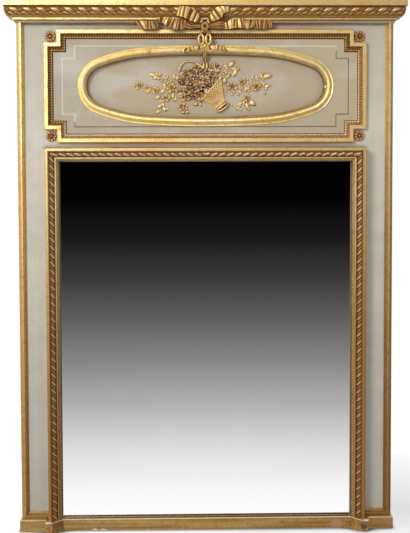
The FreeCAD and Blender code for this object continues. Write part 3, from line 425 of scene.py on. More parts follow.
def rosette_carving(material):
    """The four rosettes: petals round a ringed button."""
    flowers = Shape()
    outer_x = panel_frame_x - panel_frame_step / 2
    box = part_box("corner_rosettes")
    radius = box[1][2] / MM - (panel_frame_top - panel_frame_step / 2)
    reach = face_y - box[0][1] / MM
    petals = 9
    turns = np.linspace(0, 2 * math.pi, petals * 10, endpoint=False)
    radii = np.linspace(0.02, 1, 22)
    for x in (-outer_x, outer_x):
        for z in (panel_frame_top - panel_frame_step / 2, panel_frame_bottom + panel_frame_step / 2):
            r, turn = np.meshgrid(radii, turns, indexing="ij")
            lobe = np.abs(np.cos(turn * petals / 2))
            rim = 0.86 + 0.14 * lobe
            size = r * rim * radius
            button = np.clip(1 - (r / 0.24) ** 2, 0, None) ** 0.5
            ring = np.exp(-((r - 0.36) / 0.07) ** 2)
            petal = np.clip(1 - ((r - 0.74) / 0.3) ** 2, 0, None) ** 0.5 * (0.25 + 0.75 * lobe ** 0.7)
            vein = 0.16 * np.exp(-((lobe - 1) / 0.12) ** 2) * (r > 0.5)
            height = reach * np.clip(0.12 + 0.8 * button + 0.42 * ring + 0.62 * petal - vein, 0.05, 1.0)
            height[-1] = 0.0
            hollow = np.clip(1.25 - height / reach * 1.9, 0, 1)
            points = (place(x, 0, z) + RIGHT * (size * np.cos(turn))[..., None]
                      + UP * (size * np.sin(turn))[..., None] + FRONT * height[..., None])
            flowers.add(points, loop_faces(len(radii), len(turns)), hollow)
    flowers.make("carved_rosettes", material, ["corner_rosettes"])


def oval_arcs():
    """The three arcs of the oval's upper right quarter: centre, radius and angles."""
    end_radius, end_angle, shoulder_angle = 103.0, 68.6, 86.2
    first, second = math.radians(end_angle), math.radians(shoulder_angle)
    rows = [[math.cos(second) - math.cos(first), -math.cos(second)],
            [math.sin(second) - math.sin(first), 1 - math.sin(second)]]
    reach = [-(oval_half_width - end_radius + end_radius * math.cos(first)),
             oval_half_height - end_radius * math.sin(first)]
    shoulder, long_radius = np.linalg.solve(rows, reach)
    x, z = oval_half_width - end_radius, 0.0
    arcs = [(x, z, end_radius, 0.0, end_angle)]
    x, z = x - (shoulder - end_radius) * math.cos(first), z - (shoulder - end_radius) * math.sin(first)
    arcs.append((x, z, shoulder, end_angle, shoulder_angle))
    x, z = x - (long_radius - shoulder) * math.cos(second), z - (long_radius - shoulder) * math.sin(second)
    arcs.append((x, z, long_radius, shoulder_angle, 90.0))
    return arcs


def oval_path(inset, h, pitch):
    """Points spaced by pitch round the oval, moved inwards by inset."""
    quarter = []
    for x, z, radius, start, end in oval_arcs():
        turns = np.radians(np.linspace(start, end, 80))
        quarter += [(x + (radius - inset) * math.cos(t), z + (radius - inset) * math.sin(t)) for t in turns]
    quarter = np.array(quarter)
    loop = np.vstack([quarter, (quarter * [-1, 1])[::-1], quarter * [-1, -1], (quarter * [1, -1])[::-1]])
    loop = np.vstack([loop, loop[:1]])
    reach = np.concatenate([[0], np.cumsum(np.linalg.norm(np.diff(loop, axis=0), axis=1))])
    spots = np.linspace(0, reach[-1], int(reach[-1] / pitch), endpoint=False)
    return [place(np.interp(spot, reach, loop[:, 0]), h, oval_centre_z + np.interp(spot, reach, loop[:, 1]))
            for spot in spots]


def oval_carving(material):
    """The bead strand of the oval moulding, on a rod painted dark as the shade under the beads."""
    beads = Shape()
    for spot in oval_path(*oval_bead_spot, oval_bead_pitch):
        ball(beads, spot + FRONT * 0.6, oval_bead_radius)
    inset, h = oval_bead_spot
    # Painted shade: a dark rod under the beads.
    tube(beads, oval_path(inset, h - 0.6, 6.0), oval_rod_radius, hollow=1.0)
    beads.make("carved_oval_beads", material, ["oval_beads"], smooth=80)


def cornice_carving(material):
    """The leaf strips under the fascia, on the front and on both returns."""
    strips = Shape()
    left, right = place(-half_width, cornice_seat, 0), place(half_width, cornice_seat, 0)
    back = np.array([-half_width, face_y - wall_h, 0])
    leaves = big_leaves(cornice_leaf_pitch)
    carved_strip(strips, left, right, FRONT, UP, cornice_slope, (-1, -1), leaves, rows=20)
    for side in (-1, 1):
        flip = np.array([-side, 1, 1])
        carved_strip(strips, left * flip, back * flip, RIGHT * side, UP, cornice_slope, (-1, 0), leaves,
                     rows=20)
    strips.make("carved_cornice_leaves", material, ["cornice_leaf"])


# ---------------------------------------------------------------- ribbons
def under_cornice(x, h, z):
    """A point whose height is counted from the lower edge of the cornice."""
    return place(x, h, cornice_low_z + z)


def ribbon(shape, top, bottom, pleats=0.0, flutes=0.0, depth=2.5, bulge=1.5, rim=0.0, shade=0.1,
           inside_from=2.0):
    """A ribbon between two edges of (x, h, z) points. Pleats run across it, flutes along it.

    Past the share inside_from of its run it shows its inner side, painted dark as shade. The grooves of its
    pleats and flutes are painted dark as shade too, and the argument shade darkens all of it as painted shade.
    """
    edges = smooth_path(np.hstack([top, bottom]), 14 * len(top))
    upper = np.array([under_cornice(*spot) for spot in edges[:, :3]])
    lower = np.array([under_cornice(*spot) for spot in edges[:, 3:]])
    u = np.linspace(0, 1, len(edges))[:, None]
    v = np.linspace(0, 1, 17)[None, :]
    ground = upper[:, None] * (1 - v[..., None]) + lower[:, None] * v[..., None]
    normal = np.cross(np.gradient(ground, axis=0), (lower - upper)[:, None])
    normal /= np.linalg.norm(normal, axis=2, keepdims=True)
    if normal[2, 8] @ FRONT < 0:
        normal = -normal
    wander = 0.2 * np.sin(2 * math.pi * (1.7 * u + 0.3 * v)) + 0.12 * np.sin(2 * math.pi * (4.3 * u + 0.2))
    phase = (pleats * u if pleats else flutes * v) + wander
    groove = phase - np.round(phase)
    strong = 0.45 + 0.55 * np.sin(math.pi * (1.3 * u + 0.25 * len(top))) ** 2
    ripple = 0.3 * (0.5 + 0.5 * np.sin(2 * math.pi * (0.37 * phase + 0.1)))
    crest = np.clip(1 - strong * np.exp(-(groove / 0.2) ** 2) - ripple, 0, 1)
    lift = bulge * np.sin(math.pi * v) + rim * np.exp(-((v - 0.93) / 0.06) ** 2) + depth * crest
    front = ground + normal * lift[..., None]
    # Painted shade: in the grooves, on the inner side, and all over by shade.
    hollow = np.clip(shade + 0.95 * (1 - crest) ** 1.4 + 0.9 * (u > inside_from), 0, 1)
    points, faces = sheet_solid(front, ground - normal * 2.4)
    shape.add(points, faces, np.concatenate([hollow.ravel(), np.full(hollow.size, 0.9)]))


def ring(shape, centre, a, b, rod, hollow=0.0, lumps=0, lump=0.0, steps=40, sides=10):
    """A closed rod round an ellipse whose half axes are a and b."""
    face = unit(np.cross(a, b))
    points = []
    for turn in np.linspace(0, 2 * math.pi, steps, endpoint=False):
        arm = a * math.cos(turn) + b * math.sin(turn)
        radius = rod * (1 + lump * math.cos(lumps * turn))
        for angle in np.linspace(0, 2 * math.pi, sides, endpoint=False):
            points.append(centre + arm + (unit(arm) * math.cos(angle) + face * math.sin(angle)) * radius)
    faces = []
    for step in range(steps):
        for side in range(sides):
            after, beside = (step + 1) % steps, (side + 1) % sides
            faces.append((step * sides + side, step * sides + beside, after * sides + beside,
                          after * sides + side))
    shape.add(points, faces, hollow)


def bow_carving(material):
    """The bow under the cornice: two pleated loops, the knot and two folded tails."""
    left = Shape()
    ribbon(left, [(-9, 50, 5), (-25, 58, 23), (-42, 63, 38), (-63, 65, 49), (-87, 65, 50), (-91, 57, 49),
                  (-77, 50, 42), (-41, 45, 19), (-10, 42, -1)],
           [(-12, 50, -4), (-34, 58, -5), (-52, 63, -1), (-72, 65, 9), (-99, 65, 17), (-98, 57, 15),
            (-77, 50, 8), (-45, 45, -5), (-13, 42, -11)], pleats=11, depth=4.0, inside_from=0.6)
    left.make("bow_loop_left", material, ["ribbon_loop_left"], smooth=60)
    right = Shape()
    ribbon(right, [(3, 50, 1), (18, 58, 25), (34, 63, 45), (46, 65, 49), (60, 65, 50), (81, 65, 49),
                   (85, 58, 48), (74, 52, 42), (39, 47, 26), (8, 42, -1)],
           [(9, 50, -8), (28, 58, 0), (54, 62, 9), (61, 65, 23), (68, 65, 28), (82, 65, 30), (83, 58, 24),
            (79, 50, 4), (50, 46, -2), (11, 42, -12)], pleats=12, depth=4.0, inside_from=0.62)
    right.make("bow_loop_right", material, ["ribbon_loop_right"], smooth=60)

    tail = Shape()
    ribbon(tail, [(-251, 38, 4), (-231, 44, 4), (-207, 47, 2), (-195, 52, 0), (-182, 47, 0), (-172, 40, 5)],
           [(-225, 38, -25), (-216, 44, -26), (-202, 47, -27), (-192, 52, -27), (-178, 47, -26),
            (-165, 40, -23)], pleats=6, depth=3.5, shade=0.3)
    ribbon(tail, [(-172, 44, 16), (-147, 50, 15), (-126, 52, 15), (-109, 52, 14), (-115, 50, 7)],
           [(-171, 44, 10), (-154, 48, -3), (-140, 52, -15), (-132, 54, -21), (-130, 52, -18)],
           pleats=4, depth=3.0, shade=0.15)
    ribbon(tail, [(-117, 42, 6), (-101, 47, 9), (-87, 47, 12), (-70, 42, 13)],
           [(-130, 44, -21), (-112, 52, -30), (-88, 51, -30), (-70, 42, -21)],
           pleats=5, depth=3.0, rim=3.0, bulge=4.0, shade=0.32)
    ribbon(tail, [(-73, 38, 12), (-55, 40, 3), (-31, 43, -4), (-10, 44, -10)],
           [(-72, 40, -21), (-59, 43, -26), (-35, 45, -24), (-10, 44, -20)], flutes=3, depth=3.5, shade=0.42)
    tail.make("bow_tail_left", material, ["ribbon_tail_left"], smooth=60)

    tail = Shape()
    ribbon(tail, [(2, 44, -9), (22, 45, 1), (40, 45, 8), (57, 42, 12), (66, 38, 9)],
           [(2, 44, -21), (25, 47, -24), (46, 47, -25), (66, 42, -24), (72, 38, -21)],
           flutes=4, depth=3.5, shade=0.38)
    ribbon(tail, [(64, 38, 6), (82, 43, 7), (98, 50, 7), (113, 46, 10), (127, 51, 11), (136, 46, 11)],
           [(66, 38, -24), (84, 43, -25), (100, 50, -23), (114, 46, -21), (129, 51, -23), (135, 46, -20)],
           pleats=6, depth=3.5, shade=0.12)
    ribbon(tail, [(134, 46, 4), (148, 50, 4), (163, 48, 5), (176, 42, 7)],
           [(136, 46, -20), (145, 53, -28), (159, 51, -23), (174, 42, -9)],
           pleats=2, depth=2.0, rim=3.0, bulge=4.0, shade=0.2)
    ribbon(tail, [(167, 40, 6), (191, 43, 6), (213, 41, 8), (233, 36, 7)],
           [(170, 40, -23), (191, 43, -25), (213, 41, -24), (237, 36, -18)], pleats=8, depth=3.0, shade=0.36)
    tail.make("bow_tail_right", material, ["ribbon_tail_right"], smooth=60)

    knot = Shape()
    centre = under_cornice(-3, 52, -17)
    ring(knot, centre, RIGHT * 9.5, UP * 10.5, 5.0, 0.45, 5, 0.22)
    # Painted shade: dark balls inside the ring and behind it stand for the knot's shaded hollow.
    ball(knot, under_cornice(-3, 44, -17), 9.0, squash=0.8, sides=14, rings=8, hollow=0.95)
    ball(knot, under_cornice(-3, 22, -17), 8.0, squash=2.6, sides=14, rings=8, hollow=0.9)
    knot.make("bow_knot", material, ["ribbon_knot"], smooth=70)


def pendant_carving(material):
    """The small bow that hangs from the large one, its tails on the oval moulding and its strap."""
    bow = Shape()
    ring(bow, under_cornice(-16.0, 27, -60), RIGHT * 8.4, UP * 17.5, 6.6, 0.05, 2, 0.12)
    ring(bow, under_cornice(9.5, 27, -59), RIGHT * 8.2, UP * 18.0, 6.4, 0.05, 2, 0.12)
    for side in (-1, 1):
        tube(bow, [under_cornice(-3 + side * 3, 40, -28), under_cornice(-3 + side * 13, 33, -33),
                   under_cornice(-3 + side * 13, 28, -42)], [4.2, 5.4, 5.0], 10, 0.1)
    ball(bow, under_cornice(-3, 28, -82), 8.0, squash=0.6, sides=14, rings=8)
    ribbon(bow, [(-8, 27, -79), (-31, 27, -84), (-56, 26, -86), (-70, 25, -90), (-87, 21, -96)],
           [(-10, 26, -92), (-27, 27, -98), (-56, 26, -101), (-69, 25, -104), (-81, 20, -110)],
           pleats=5, depth=2.4, shade=0.15)
    ribbon(bow, [(1, 27, -78), (15, 27, -81), (31, 28, -80), (58, 27, -80), (71, 23, -91), (85, 19, -98)],
           [(1, 26, -93), (15, 27, -95), (31, 28, -98), (58, 27, -98), (69, 22, -105), (84, 18, -110)],
           pleats=6, depth=2.8, shade=0.1)
    ribbon(bow, [(-12, 26, -75), (-12, 26, -93), (-11, 22, -108), (-11, 13, -121), (-12, 2, -136),
                 (-16, 1, -158)],
           [(4, 26, -75), (4, 26, -93), (3, 22, -108), (4, 13, -121), (6, 2, -136), (11, 1, -158)],
           flutes=2, depth=2.0, shade=0.15)
    bow.make("pendant_bow", material, ["pendant_ribbon"], smooth=60)


# ---------------------------------------------------------------- basket and flowers
def on_field(x, z, lift=0.0):
    """A point on the oval field, its height counted from the middle of the stepped frame."""
    return place(x, oval_field_h + lift, (panel_frame_top + panel_frame_bottom) / 2 + z)


def leaf(shape, base, tip, width, lift, hollow=0.0):
    """A pointed leaf with a groove along its middle, carved out of the field."""
    start, along = on_field(*base), on_field(*tip) - on_field(*base)
    side = unit(np.cross(FRONT, along))
    t, s = np.linspace(0, 1, 10)[:, None], np.linspace(-1, 1, 9)[None, :]
    half = 0.3 + width * 0.58 * np.sin(math.pi * t ** 0.75) ** 0.8
    arch = lift * (0.45 + 0.7 * np.sin(math.pi * t * 0.85))
    roof = arch + width * 0.28 * (1 - s ** 2) * np.sin(math.pi * t) ** 0.5
    groove = 0.13 * width * np.exp(-(s / 0.22) ** 2) * (t > 0.05) * (t < 0.95)
    flat = start + along * t[..., None] + side * (half * s)[..., None]
    height = np.clip(roof - groove, 0.4, None)
    points, faces = sheet_solid(flat + FRONT * height[..., None], flat - FRONT * 0.3)
    # Painted shade along the groove and at the leaf's edges.
    depth = np.clip(hollow + 0.4 * np.exp(-(s / 0.25) ** 2) + 0.5 * (np.abs(s) > 0.9), 0, 1)
    depth = np.broadcast_to(depth, height.shape)
    shape.add(points, faces, np.concatenate([depth.ravel(), np.full(depth.size, 0.9)]))


def bloom(shape, x, z, radius, petals, lift, hollow=0.0):
    """An open rose: two rings of cupped petals round a closed heart.

    Between the two rings and in the notches it is painted dark as shade.
    """
    turn = np.linspace(0, 2 * math.pi, petals * 10, endpoint=False)[None, :]
    r = np.concatenate([np.linspace(0.03, 1, 20), [1.02]])[:, None]
    start, tilt = rng.uniform(0, 2 * math.pi), rng.uniform(0, 2 * math.pi)
    outer = np.abs(np.cos((turn - start) * petals / 2)) ** 0.6
    inner = np.abs(np.cos((turn - start - 0.9) * (petals - 2) / 2)) ** 0.6
    uneven = 1 + 0.15 * np.sin(turn * 2 + tilt)
    size = r * radius * uneven * (0.68 + 0.32 * outer)
    rise = np.clip(1 - np.abs((r - 0.8) / 0.27) ** 2.5, 0, 1) * (0.2 + 0.8 * outer) * 0.85
    rise = np.maximum(rise, np.clip(1 - np.abs((r - 0.42) / 0.15) ** 2, 0, 1) * (0.35 + 0.65 * inner))
    rise = np.maximum(rise, 0.9 * np.clip(1 - (r / 0.2) ** 2, 0, 1))
    reach = min(radius * 0.6, 8.0)
    slope = 0.35 * size * np.cos(turn - tilt)
    height = np.clip(lift - reach + reach * (0.1 + 0.9 * rise) + slope, 0.5, None)
    height[-1] = -0.3
    points = (on_field(x, z) + RIGHT * (size * np.cos(turn))[..., None]
              + UP * (size * np.sin(turn))[..., None] + FRONT * height[..., None])
    depth = np.clip(hollow + (1 - rise) ** 1.6, 0, 1)
    depth[-1] = 0.9
    shape.add(points, loop_faces(points.shape[0], points.shape[1]), depth)


def stem(shape, points, radius=1.5, lift=2.2, hollow=0.25):
    """A thin stem along the field."""
    route = smooth_path([on_field(x, z, lift) for x, z in points], 6 * len(points))
    tube(shape, route, np.linspace(radius * 1.25, radius * 0.8, len(route)), 7, hollow)


def leafy(shape, routes):
    """Stems with small leaves set along them, now on one side and now on the other."""
    for points in routes:
        stem(shape, points)
        route = smooth_path(points, 60)
        length = np.sum(np.linalg.norm(np.diff(route, axis=0), axis=1))
        count = int(length / 12)
        for index in range(count):
            spot = int((index + rng.uniform(0.3, 0.9)) / count * 56) + 1
            along = unit(route[spot + 1] - route[spot - 1])
            side = np.array([-along[1], along[0]]) * (1 if index % 2 else -1)
            reach = (along * rng.uniform(0.2, 0.8) + side) * rng.uniform(8, 13)
            base = route[spot] + side * 1.5
            leaf(shape, tuple(base), tuple(base + reach), rng.uniform(5.5, 8.0), rng.uniform(2.5, 5.5))


def curl(shape, x, z, radius, start, sweep, rod=2.4):
    """A rolled-up petal: a rod along a spiral."""
    turns = np.radians(np.linspace(start, start + sweep, 26))
    sizes = radius * np.linspace(1.0, 0.45, len(turns))
    route = [on_field(x + size * math.cos(t), z + size * math.sin(t), 5.0) for t, size in zip(turns, sizes)]
    tube(shape, route, np.linspace(rod, rod * 0.7, len(turns)))


def buds(shape, spots):
    """Closed buds as (x, z, radius)."""
    for x, z, radius in spots:
        ball(shape, on_field(x, z, radius * 0.9), radius, squash=1.1, sides=10, rings=7)


def spray_carving(material):
    """Leaves, blooms, buds and stems on both sides of the basket."""
    left = Shape()
    leafy(left, ([(-92, 9), (-113, 6), (-141, 21), (-163, 33)],
                 [(-92, 1), (-120, -13), (-152, -11), (-192, -15), (-227, -2)],
                 [(-85, -34), (-106, -38), (-135, -33), (-153, -55), (-161, -69), (-171, -91)],
                 [(-153, -55), (-150, -73), (-142, -87)], [(-70, -41), (-76, -59), (-74, -87)],
                 [(-141, 21), (-139, 31)]))
    for spot in [((-168, 37), (-205, 46), 12, 5), ((-170, 39), (-176, 51), 9, 5),
                 ((-168, 39), (-157, 48), 9, 5), ((-166, 35), (-191, 29), 10, 5),
                 ((-165, 35), (-171, 24), 9, 4), ((-197, -7), (-213, -24), 9, 3),
                 ((-153, -1), (-141, 9), 10, 4), ((-155, -7), (-149, -25), 9, 3),
                 ((-159, -30), (-182, -44), 10, 4), ((-120, -28), (-112, -42), 8, 4),
                 ((-111, -38), (-106, -53), 9, 4), ((-154, -66), (-175, -74), 9, 5),
                 ((-153, -72), (-141, -89), 9, 5), ((-165, -81), (-179, -97), 8, 3),
                 ((-110, 26), (-116, 48), 8, 4), ((-106, 25), (-96, 37), 12, 5),
                 ((-106, 23), (-112, 16), 9, 4), ((-248, 5), (-261, 4), 8, 3),
                 ((-238, 9), (-247, 18), 8, 4), ((-232, 8), (-226, 16), 8, 3),
                 ((-241, -3), (-248, -10), 7, 3)]:
        leaf(left, *spot)
    for spot in [(-236, 3, 11, 6, 7), (-179, -15, 10, 5, 9), (-123, -4, 16, 6, 13), (-142, -43, 14, 5, 11),
                 (-88, -71, 14, 5, 12)]:
        bloom(left, *spot)
    buds(left, [(-202, 0, 5), (-185, -4, 4), (-179, -4, 4), (-170, -8, 4.5), (-81, -92, 6), (-66, -91, 6),
                (-70, -80, 5.5), (-125, -20, 4.5)])
    curl(left, -141, 38, 8.0, 200, 330)
    left.make("carved_spray_left", material, ["spray_left"], smooth=60, deepest=root_h)

    right = Shape()
    leafy(right, ([(37, 51), (66, 53), (87, 64), (102, 83)], [(44, 42), (73, 40), (98, 49), (116, 58)],
                  [(66, -6), (94, -11), (127, -9), (159, -6), (184, 0), (223, 0)],
                  [(141, -9), (162, 12), (180, 28), (202, 33)],
                  [(127, -9), (144, -31), (154, -52), (169, -59)],
                  [(144, -38), (132, -59), (116, -80)], [(144, -41), (148, -63), (155, -80)]))
    for spot in [((82, 72), (104, 91), 13, 6), ((80, 71), (64, 75), 9, 5), ((93, 58), (107, 69), 9, 6),
                 ((98, 54), (118, 65), 9, 5), ((98, 50), (117, 55), 8, 4), ((93, 46), (106, 39), 10, 5),
                 ((205, 35), (240, 42), 15, 6), ((203, 38), (196, 48), 9, 6), ((204, 33), (210, 23), 10, 5),
                 ((209, 38), (216, 49), 9, 6), ((194, 35), (209, 35), 10, 6), ((152, 1), (139, -14), 9, 3),
                 ((209, -2), (236, 6), 8, 4), ((124, -26), (111, -27), 8, 5), ((98, -22), (91, -31), 8, 3),
                 ((143, -58), (157, -82), 7, 4), ((131, -54), (118, -68), 10, 4),
                 ((124, -68), (111, -83), 10, 4), ((154, -52), (180, -66), 14, 9),
                 ((66, 9), (71, 34), 12, 9), ((150, -21), (147, -34), 8, 3)]:
        leaf(right, *spot)
    for spot in [(95, 0, 18, 6, 14), (130, 17, 13, 5, 11), (182, 0, 15, 6, 13), (146, -39, 13, 5, 11)]:
        bloom(right, *spot)
    buds(right, [(105, 67, 5), (117, 63, 5.5), (83, 39, 6), (196, 7, 5), (212, -24, 4), (151, 24, 4),
                 (156, -81, 4), (94, -68, 3.5), (157, -14, 4.5)])
    curl(right, 177, 33, 9.0, 150, 300, 2.8)
    right.make("carved_spray_right", material, ["spray_right"], smooth=60, deepest=root_h)


def flower_mass_carving(material):
    """The flowers that spill out of the basket, with the basket's hoop over them."""
    heads = [(-31, 67, 10, 5, 12), (-41, 49, 12, 6, 14), (-68, 49, 9, 5, 9), (-4, 46, 12, 5, 16),
             (22, 65, 10, 5, 11), (40, 70, 9, 5, 9), (-26, 28, 12, 6, 18), (-1, 22, 13, 6, 20),
             (24, 43, 11, 5, 14), (-82, 21, 12, 5, 11), (-54, 18, 12, 6, 16), (-24, -1, 15, 6, 22),
             (-62, -9, 11, 5, 14), (-86, -20, 10, 5, 9), (-46, -25, 12, 5, 16), (-69, -35, 10, 5, 11),
             (17, 11, 10, 5, 16), (40, 46, 9, 5, 9), (-22, -31, 11, 5, 16)]
    mass = Shape()
    for x, z, radius, petals, lift in heads:
        girth = radius * 1.35
        # Painted shade: a dark mound under each bloom fills the gaps between the flowers.
        ball(mass, on_field(x, z), girth, squash=lift * 0.75 / girth, sides=14, rings=8, hollow=1.0)
        bloom(mass, x, z, radius * 1.1, petals, lift, 0.12)
        for turn in rng.uniform(0, 2 * math.pi, 7):
            reach = radius * rng.uniform(0.85, 1.3)
            spot = (x + reach * math.cos(turn), z + reach * math.sin(turn))
            if rng.random() < 0.55:
                bend = turn + rng.uniform(-1.2, 1.2)
                tip = (spot[0] + 10 * math.cos(bend), spot[1] + 10 * math.sin(bend))
                leaf(mass, spot, tip, rng.uniform(5, 8), lift * rng.uniform(0.7, 1.0), 0.1)
            else:
                ball(mass, on_field(*spot, lift * 0.75), rng.uniform(2.2, 3.4), sides=8, rings=6, hollow=0.15)
    for spot in [((-84, 60), (-102, 67), 9, 6), ((-82, 70), (-93, 82), 8, 5), ((-81, 55), (-90, 38), 9, 5),
                 ((-74, -21), (-100, -28), 6, 6), ((-70, -27), (-97, -40), 6, 5),
                 ((-60, -36), (-86, -50), 7, 5), ((-9, -14), (11, -19), 14, 17),
                 ((-10, -29), (11, -35), 13, 15), ((-10, -40), (-33, -48), 11, 10),
                 ((-24, -54), (-45, -67), 10, 7), ((-24, -55), (-15, -71), 8, 5),
                 ((-29, -53), (-19, -56), 9, 7), ((9, 55), (32, 60), 8, 8), ((30, 55), (57, 58), 8, 7),
                 ((12, 36), (14, 53), 8, 11), ((-48, 71), (-35, 78), 7, 6)]:
        leaf(mass, *spot)
    bends = [(-96, 51, 5), (-90, 72, 8), (-79, 84, 9), (-63, 89, 9), (-45, 88, 10), (-27, 79, 11),
             (-8, 64, 13)]
    tube(mass, smooth_path([on_field(*bend) for bend in bends], 40), 2.7, 10, 0.05)
    mass.make("carved_flowers", material, ["flower_cluster"], smooth=60, deepest=root_h)


def basket_spot(s, angle, lift=0.0):
    """A point of the basket: s from its mouth to its foot, angle across its half-round front."""
    mouth, foot = np.array([21.0, -7.0]), np.array([59.5, -71.0])
    shares, halves = [0, 0.15, 0.4, 0.7, 0.84, 0.9, 1.0], [53.0, 47.0, 35.0, 23.0, 19.0, 22.0, 26.0]
    half = np.interp(s, shares, halves) + lift
    tilt = math.radians(48.0 - 11.4 * s)
    centre = on_field(*(mouth + (foot - mouth) * s))
    across = RIGHT * math.cos(tilt) + UP * math.sin(tilt)
    return centre - across * (half * math.cos(angle)) + FRONT * (half * 0.42 * math.sin(angle))


def basket_carving(material):
    """The tipped basket: crossed withies, a roped rim and waist, and a hollow foot.

    The body between the withies and the inside of the foot are painted dark as shade.
    """
    basket = Shape()
    steps, sides = 26, 21
    body = [[basket_spot(s, angle) for angle in np.linspace(0, math.pi, sides)]
            for s in np.linspace(0, 1, steps)]
    # Painted shade: the body shows dark between the withies.
    basket.add(body, loop_faces(steps, sides), 0.52)
    for slant in (-1.6, 1.6):
        for start in np.linspace(-1.3, math.pi + 1.3, 25):
            run = [(s, start + slant * s) for s in np.linspace(0.02, 0.84, 30)]
            inside = [(s, angle) for s, angle in run if 0.06 < angle < math.pi - 0.06]
            if len(inside) > 4:
                tube(basket, [basket_spot(s, angle, 0.9) for s, angle in inside], 1.45, 7)
    for s, radius, knobs in ((0.0, 3.0, 34), (0.56, 1.7, 0), (0.84, 2.6, 16), (0.98, 2.2, 0)):
        turns = np.linspace(0.02, math.pi - 0.02, 90)
        radii = radius * (1 + 0.22 * np.cos(turns * knobs * 2)) if knobs else radius
        tube(basket, [basket_spot(s, angle, 1.0) for angle in turns], radii, 9)
    foot = on_field(61.5, -73.5, 9.0)
    long_way = (RIGHT * 0.8 + UP * 0.6) * 25.0
    short_way = (RIGHT * 0.6 - UP * 0.8) * 6.5 + FRONT * 6.0
    ring(basket, foot, long_way, short_way, 2.2)
    turns = np.linspace(0, 2 * math.pi, 32, endpoint=False)
    disc = [[foot + long_way * math.cos(t) + short_way * math.sin(t) - FRONT * back for t in turns]
            for back in (1, 6)]
    # Painted shade inside the hollow foot.
    basket.add(disc, loop_faces(2, len(turns)), 0.75)
    basket.make("carved_basket", material, ["flower_basket"], smooth=60, deepest=root_h)


# ---------------------------------------------------------------- materials
def new_material(name):
    """A node material: the material, its tree and its surface shader."""
    material = bpy.data.materials.new(name)
    material.use_nodes = True
    return material, material.node_tree, material.node_tree.nodes["Principled BSDF"]


def node(tree, kind, **values):
    """A shader node with its properties and its input values set."""
    made = tree.nodes.new(kind)
    for key, value in values.items():
        if key in made.inputs:
            made.inputs[key].default_value = value
        else:
            setattr(made, key, value)
    return made


def noise(tree, scale, stretch=(1, 1, 1), detail=4.0, roughness=0.55, offset=0.0):
    """Noise in the object's own coordinates: the output socket, around 0.5."""
    where = node(tree, "ShaderNodeTexCoord")
    scaled = node(tree, "ShaderNodeMapping")
    scaled.inputs["Scale"].default_value = stretch
    scaled.inputs["Location"].default_value = (offset, offset * 0.7, offset * 1.3)
    tree.links.new(where.outputs["Object"], scaled.inputs["Vector"])
    made = node(tree, "ShaderNodeTexNoise", Scale=scale, Detail=detail, Roughness=roughness)
    tree.links.new(scaled.outputs["Vector"], made.inputs["Vector"])
    return made.outputs["Fac"]


def span(tree, socket, low, high, to_low=0.0, to_high=1.0):
    """A value taken from one range to another, clamped."""
    made = node(tree, "ShaderNodeMapRange")
    made.inputs["From Min"].default_value = low
    made.inputs["From Max"].default_value = high
    made.inputs["To Min"].default_value = to_low
    made.inputs["To Max"].default_value = to_high
    tree.links.new(socket, made.inputs["Value"])
    return made.outputs["Result"]


def calc(tree, operation, a, b):
    """A calculation with two sockets or numbers."""
    made = node(tree, "ShaderNodeMath", operation=operation)
    made.use_clamp = operation in ("ADD", "MAXIMUM")
    for index, value in enumerate((a, b)):
        if isinstance(value, (int, float)):
            made.inputs[index].default_value = value
        else:
            tree.links.new(value, made.inputs[index])
    return made.outputs[0]


def times(tree, a, b):
    """The product of two sockets or numbers."""
    return calc(tree, "MULTIPLY", a, b)


def plus(tree, a, b):
    """The sum of two sockets or numbers, clamped."""
    return calc(tree, "ADD", a, b)


def blend(tree, share, a, b, mode="MIX"):
    """One colour laid over another."""
    made = node(tree, "ShaderNodeMix", data_type="RGBA", blend_type=mode)
    if isinstance(share, (int, float)):
        made.inputs["Factor"].default_value = share
    else:
        tree.links.new(share, made.inputs["Factor"])
    for key, value in ((6, a), (7, b)):
        if isinstance(value, tuple):
            made.inputs[key].default_value = (*value, 1.0)
        else:
            tree.links.new(value, made.inputs[key])
    return made.outputs[2]


def bump(tree, shader, height, strength, distance):
    """A fine relief on the surface."""
    made = node(tree, "ShaderNodeBump", Strength=strength, Distance=distance)
    tree.links.new(height, made.inputs["Height"])
    tree.links.new(made.outputs["Normal"], shader.inputs["Normal"])


def grey_ramp(tree, socket, low, high, stops):
    """Greys over a range of values, as (value, grey) from low to high."""
    made = node(tree, "ShaderNodeValToRGB")
    elements = made.color_ramp.elements
    elements[0].color = (*[stops[0][1]] * 3, 1)
    elements[1].color = (*[stops[-1][1]] * 3, 1)
    for value, grey in stops[1:-1]:
        elements.new((value - low) / (high - low)).color = (*[grey] * 3, 1)
    tree.links.new(span(tree, socket, low, high), made.inputs["Fac"])
    return made.outputs["Color"]


def place_socket(tree, axis):
    """X, Y or Z of the spot in the object's own coordinates, in metres."""
    where = node(tree, "ShaderNodeTexCoord")
    apart = node(tree, "ShaderNodeSeparateXYZ")
    tree.links.new(where.outputs["Object"], apart.inputs["Vector"])
    return apart.outputs[axis]


def edge_wear(tree, radius):
    """1 along the arrises, 0 on flat ground."""
    bevel = node(tree, "ShaderNodeBevel", samples=4, Radius=radius)
    geometry = node(tree, "ShaderNodeNewGeometry")
    turn = node(tree, "ShaderNodeVectorMath", operation="DOT_PRODUCT")
    tree.links.new(bevel.outputs["Normal"], turn.inputs[0])
    tree.links.new(geometry.outputs["Normal"], turn.inputs[1])
    return span(tree, turn.outputs["Value"], 0.999, 0.93, 0.0, 1.0)


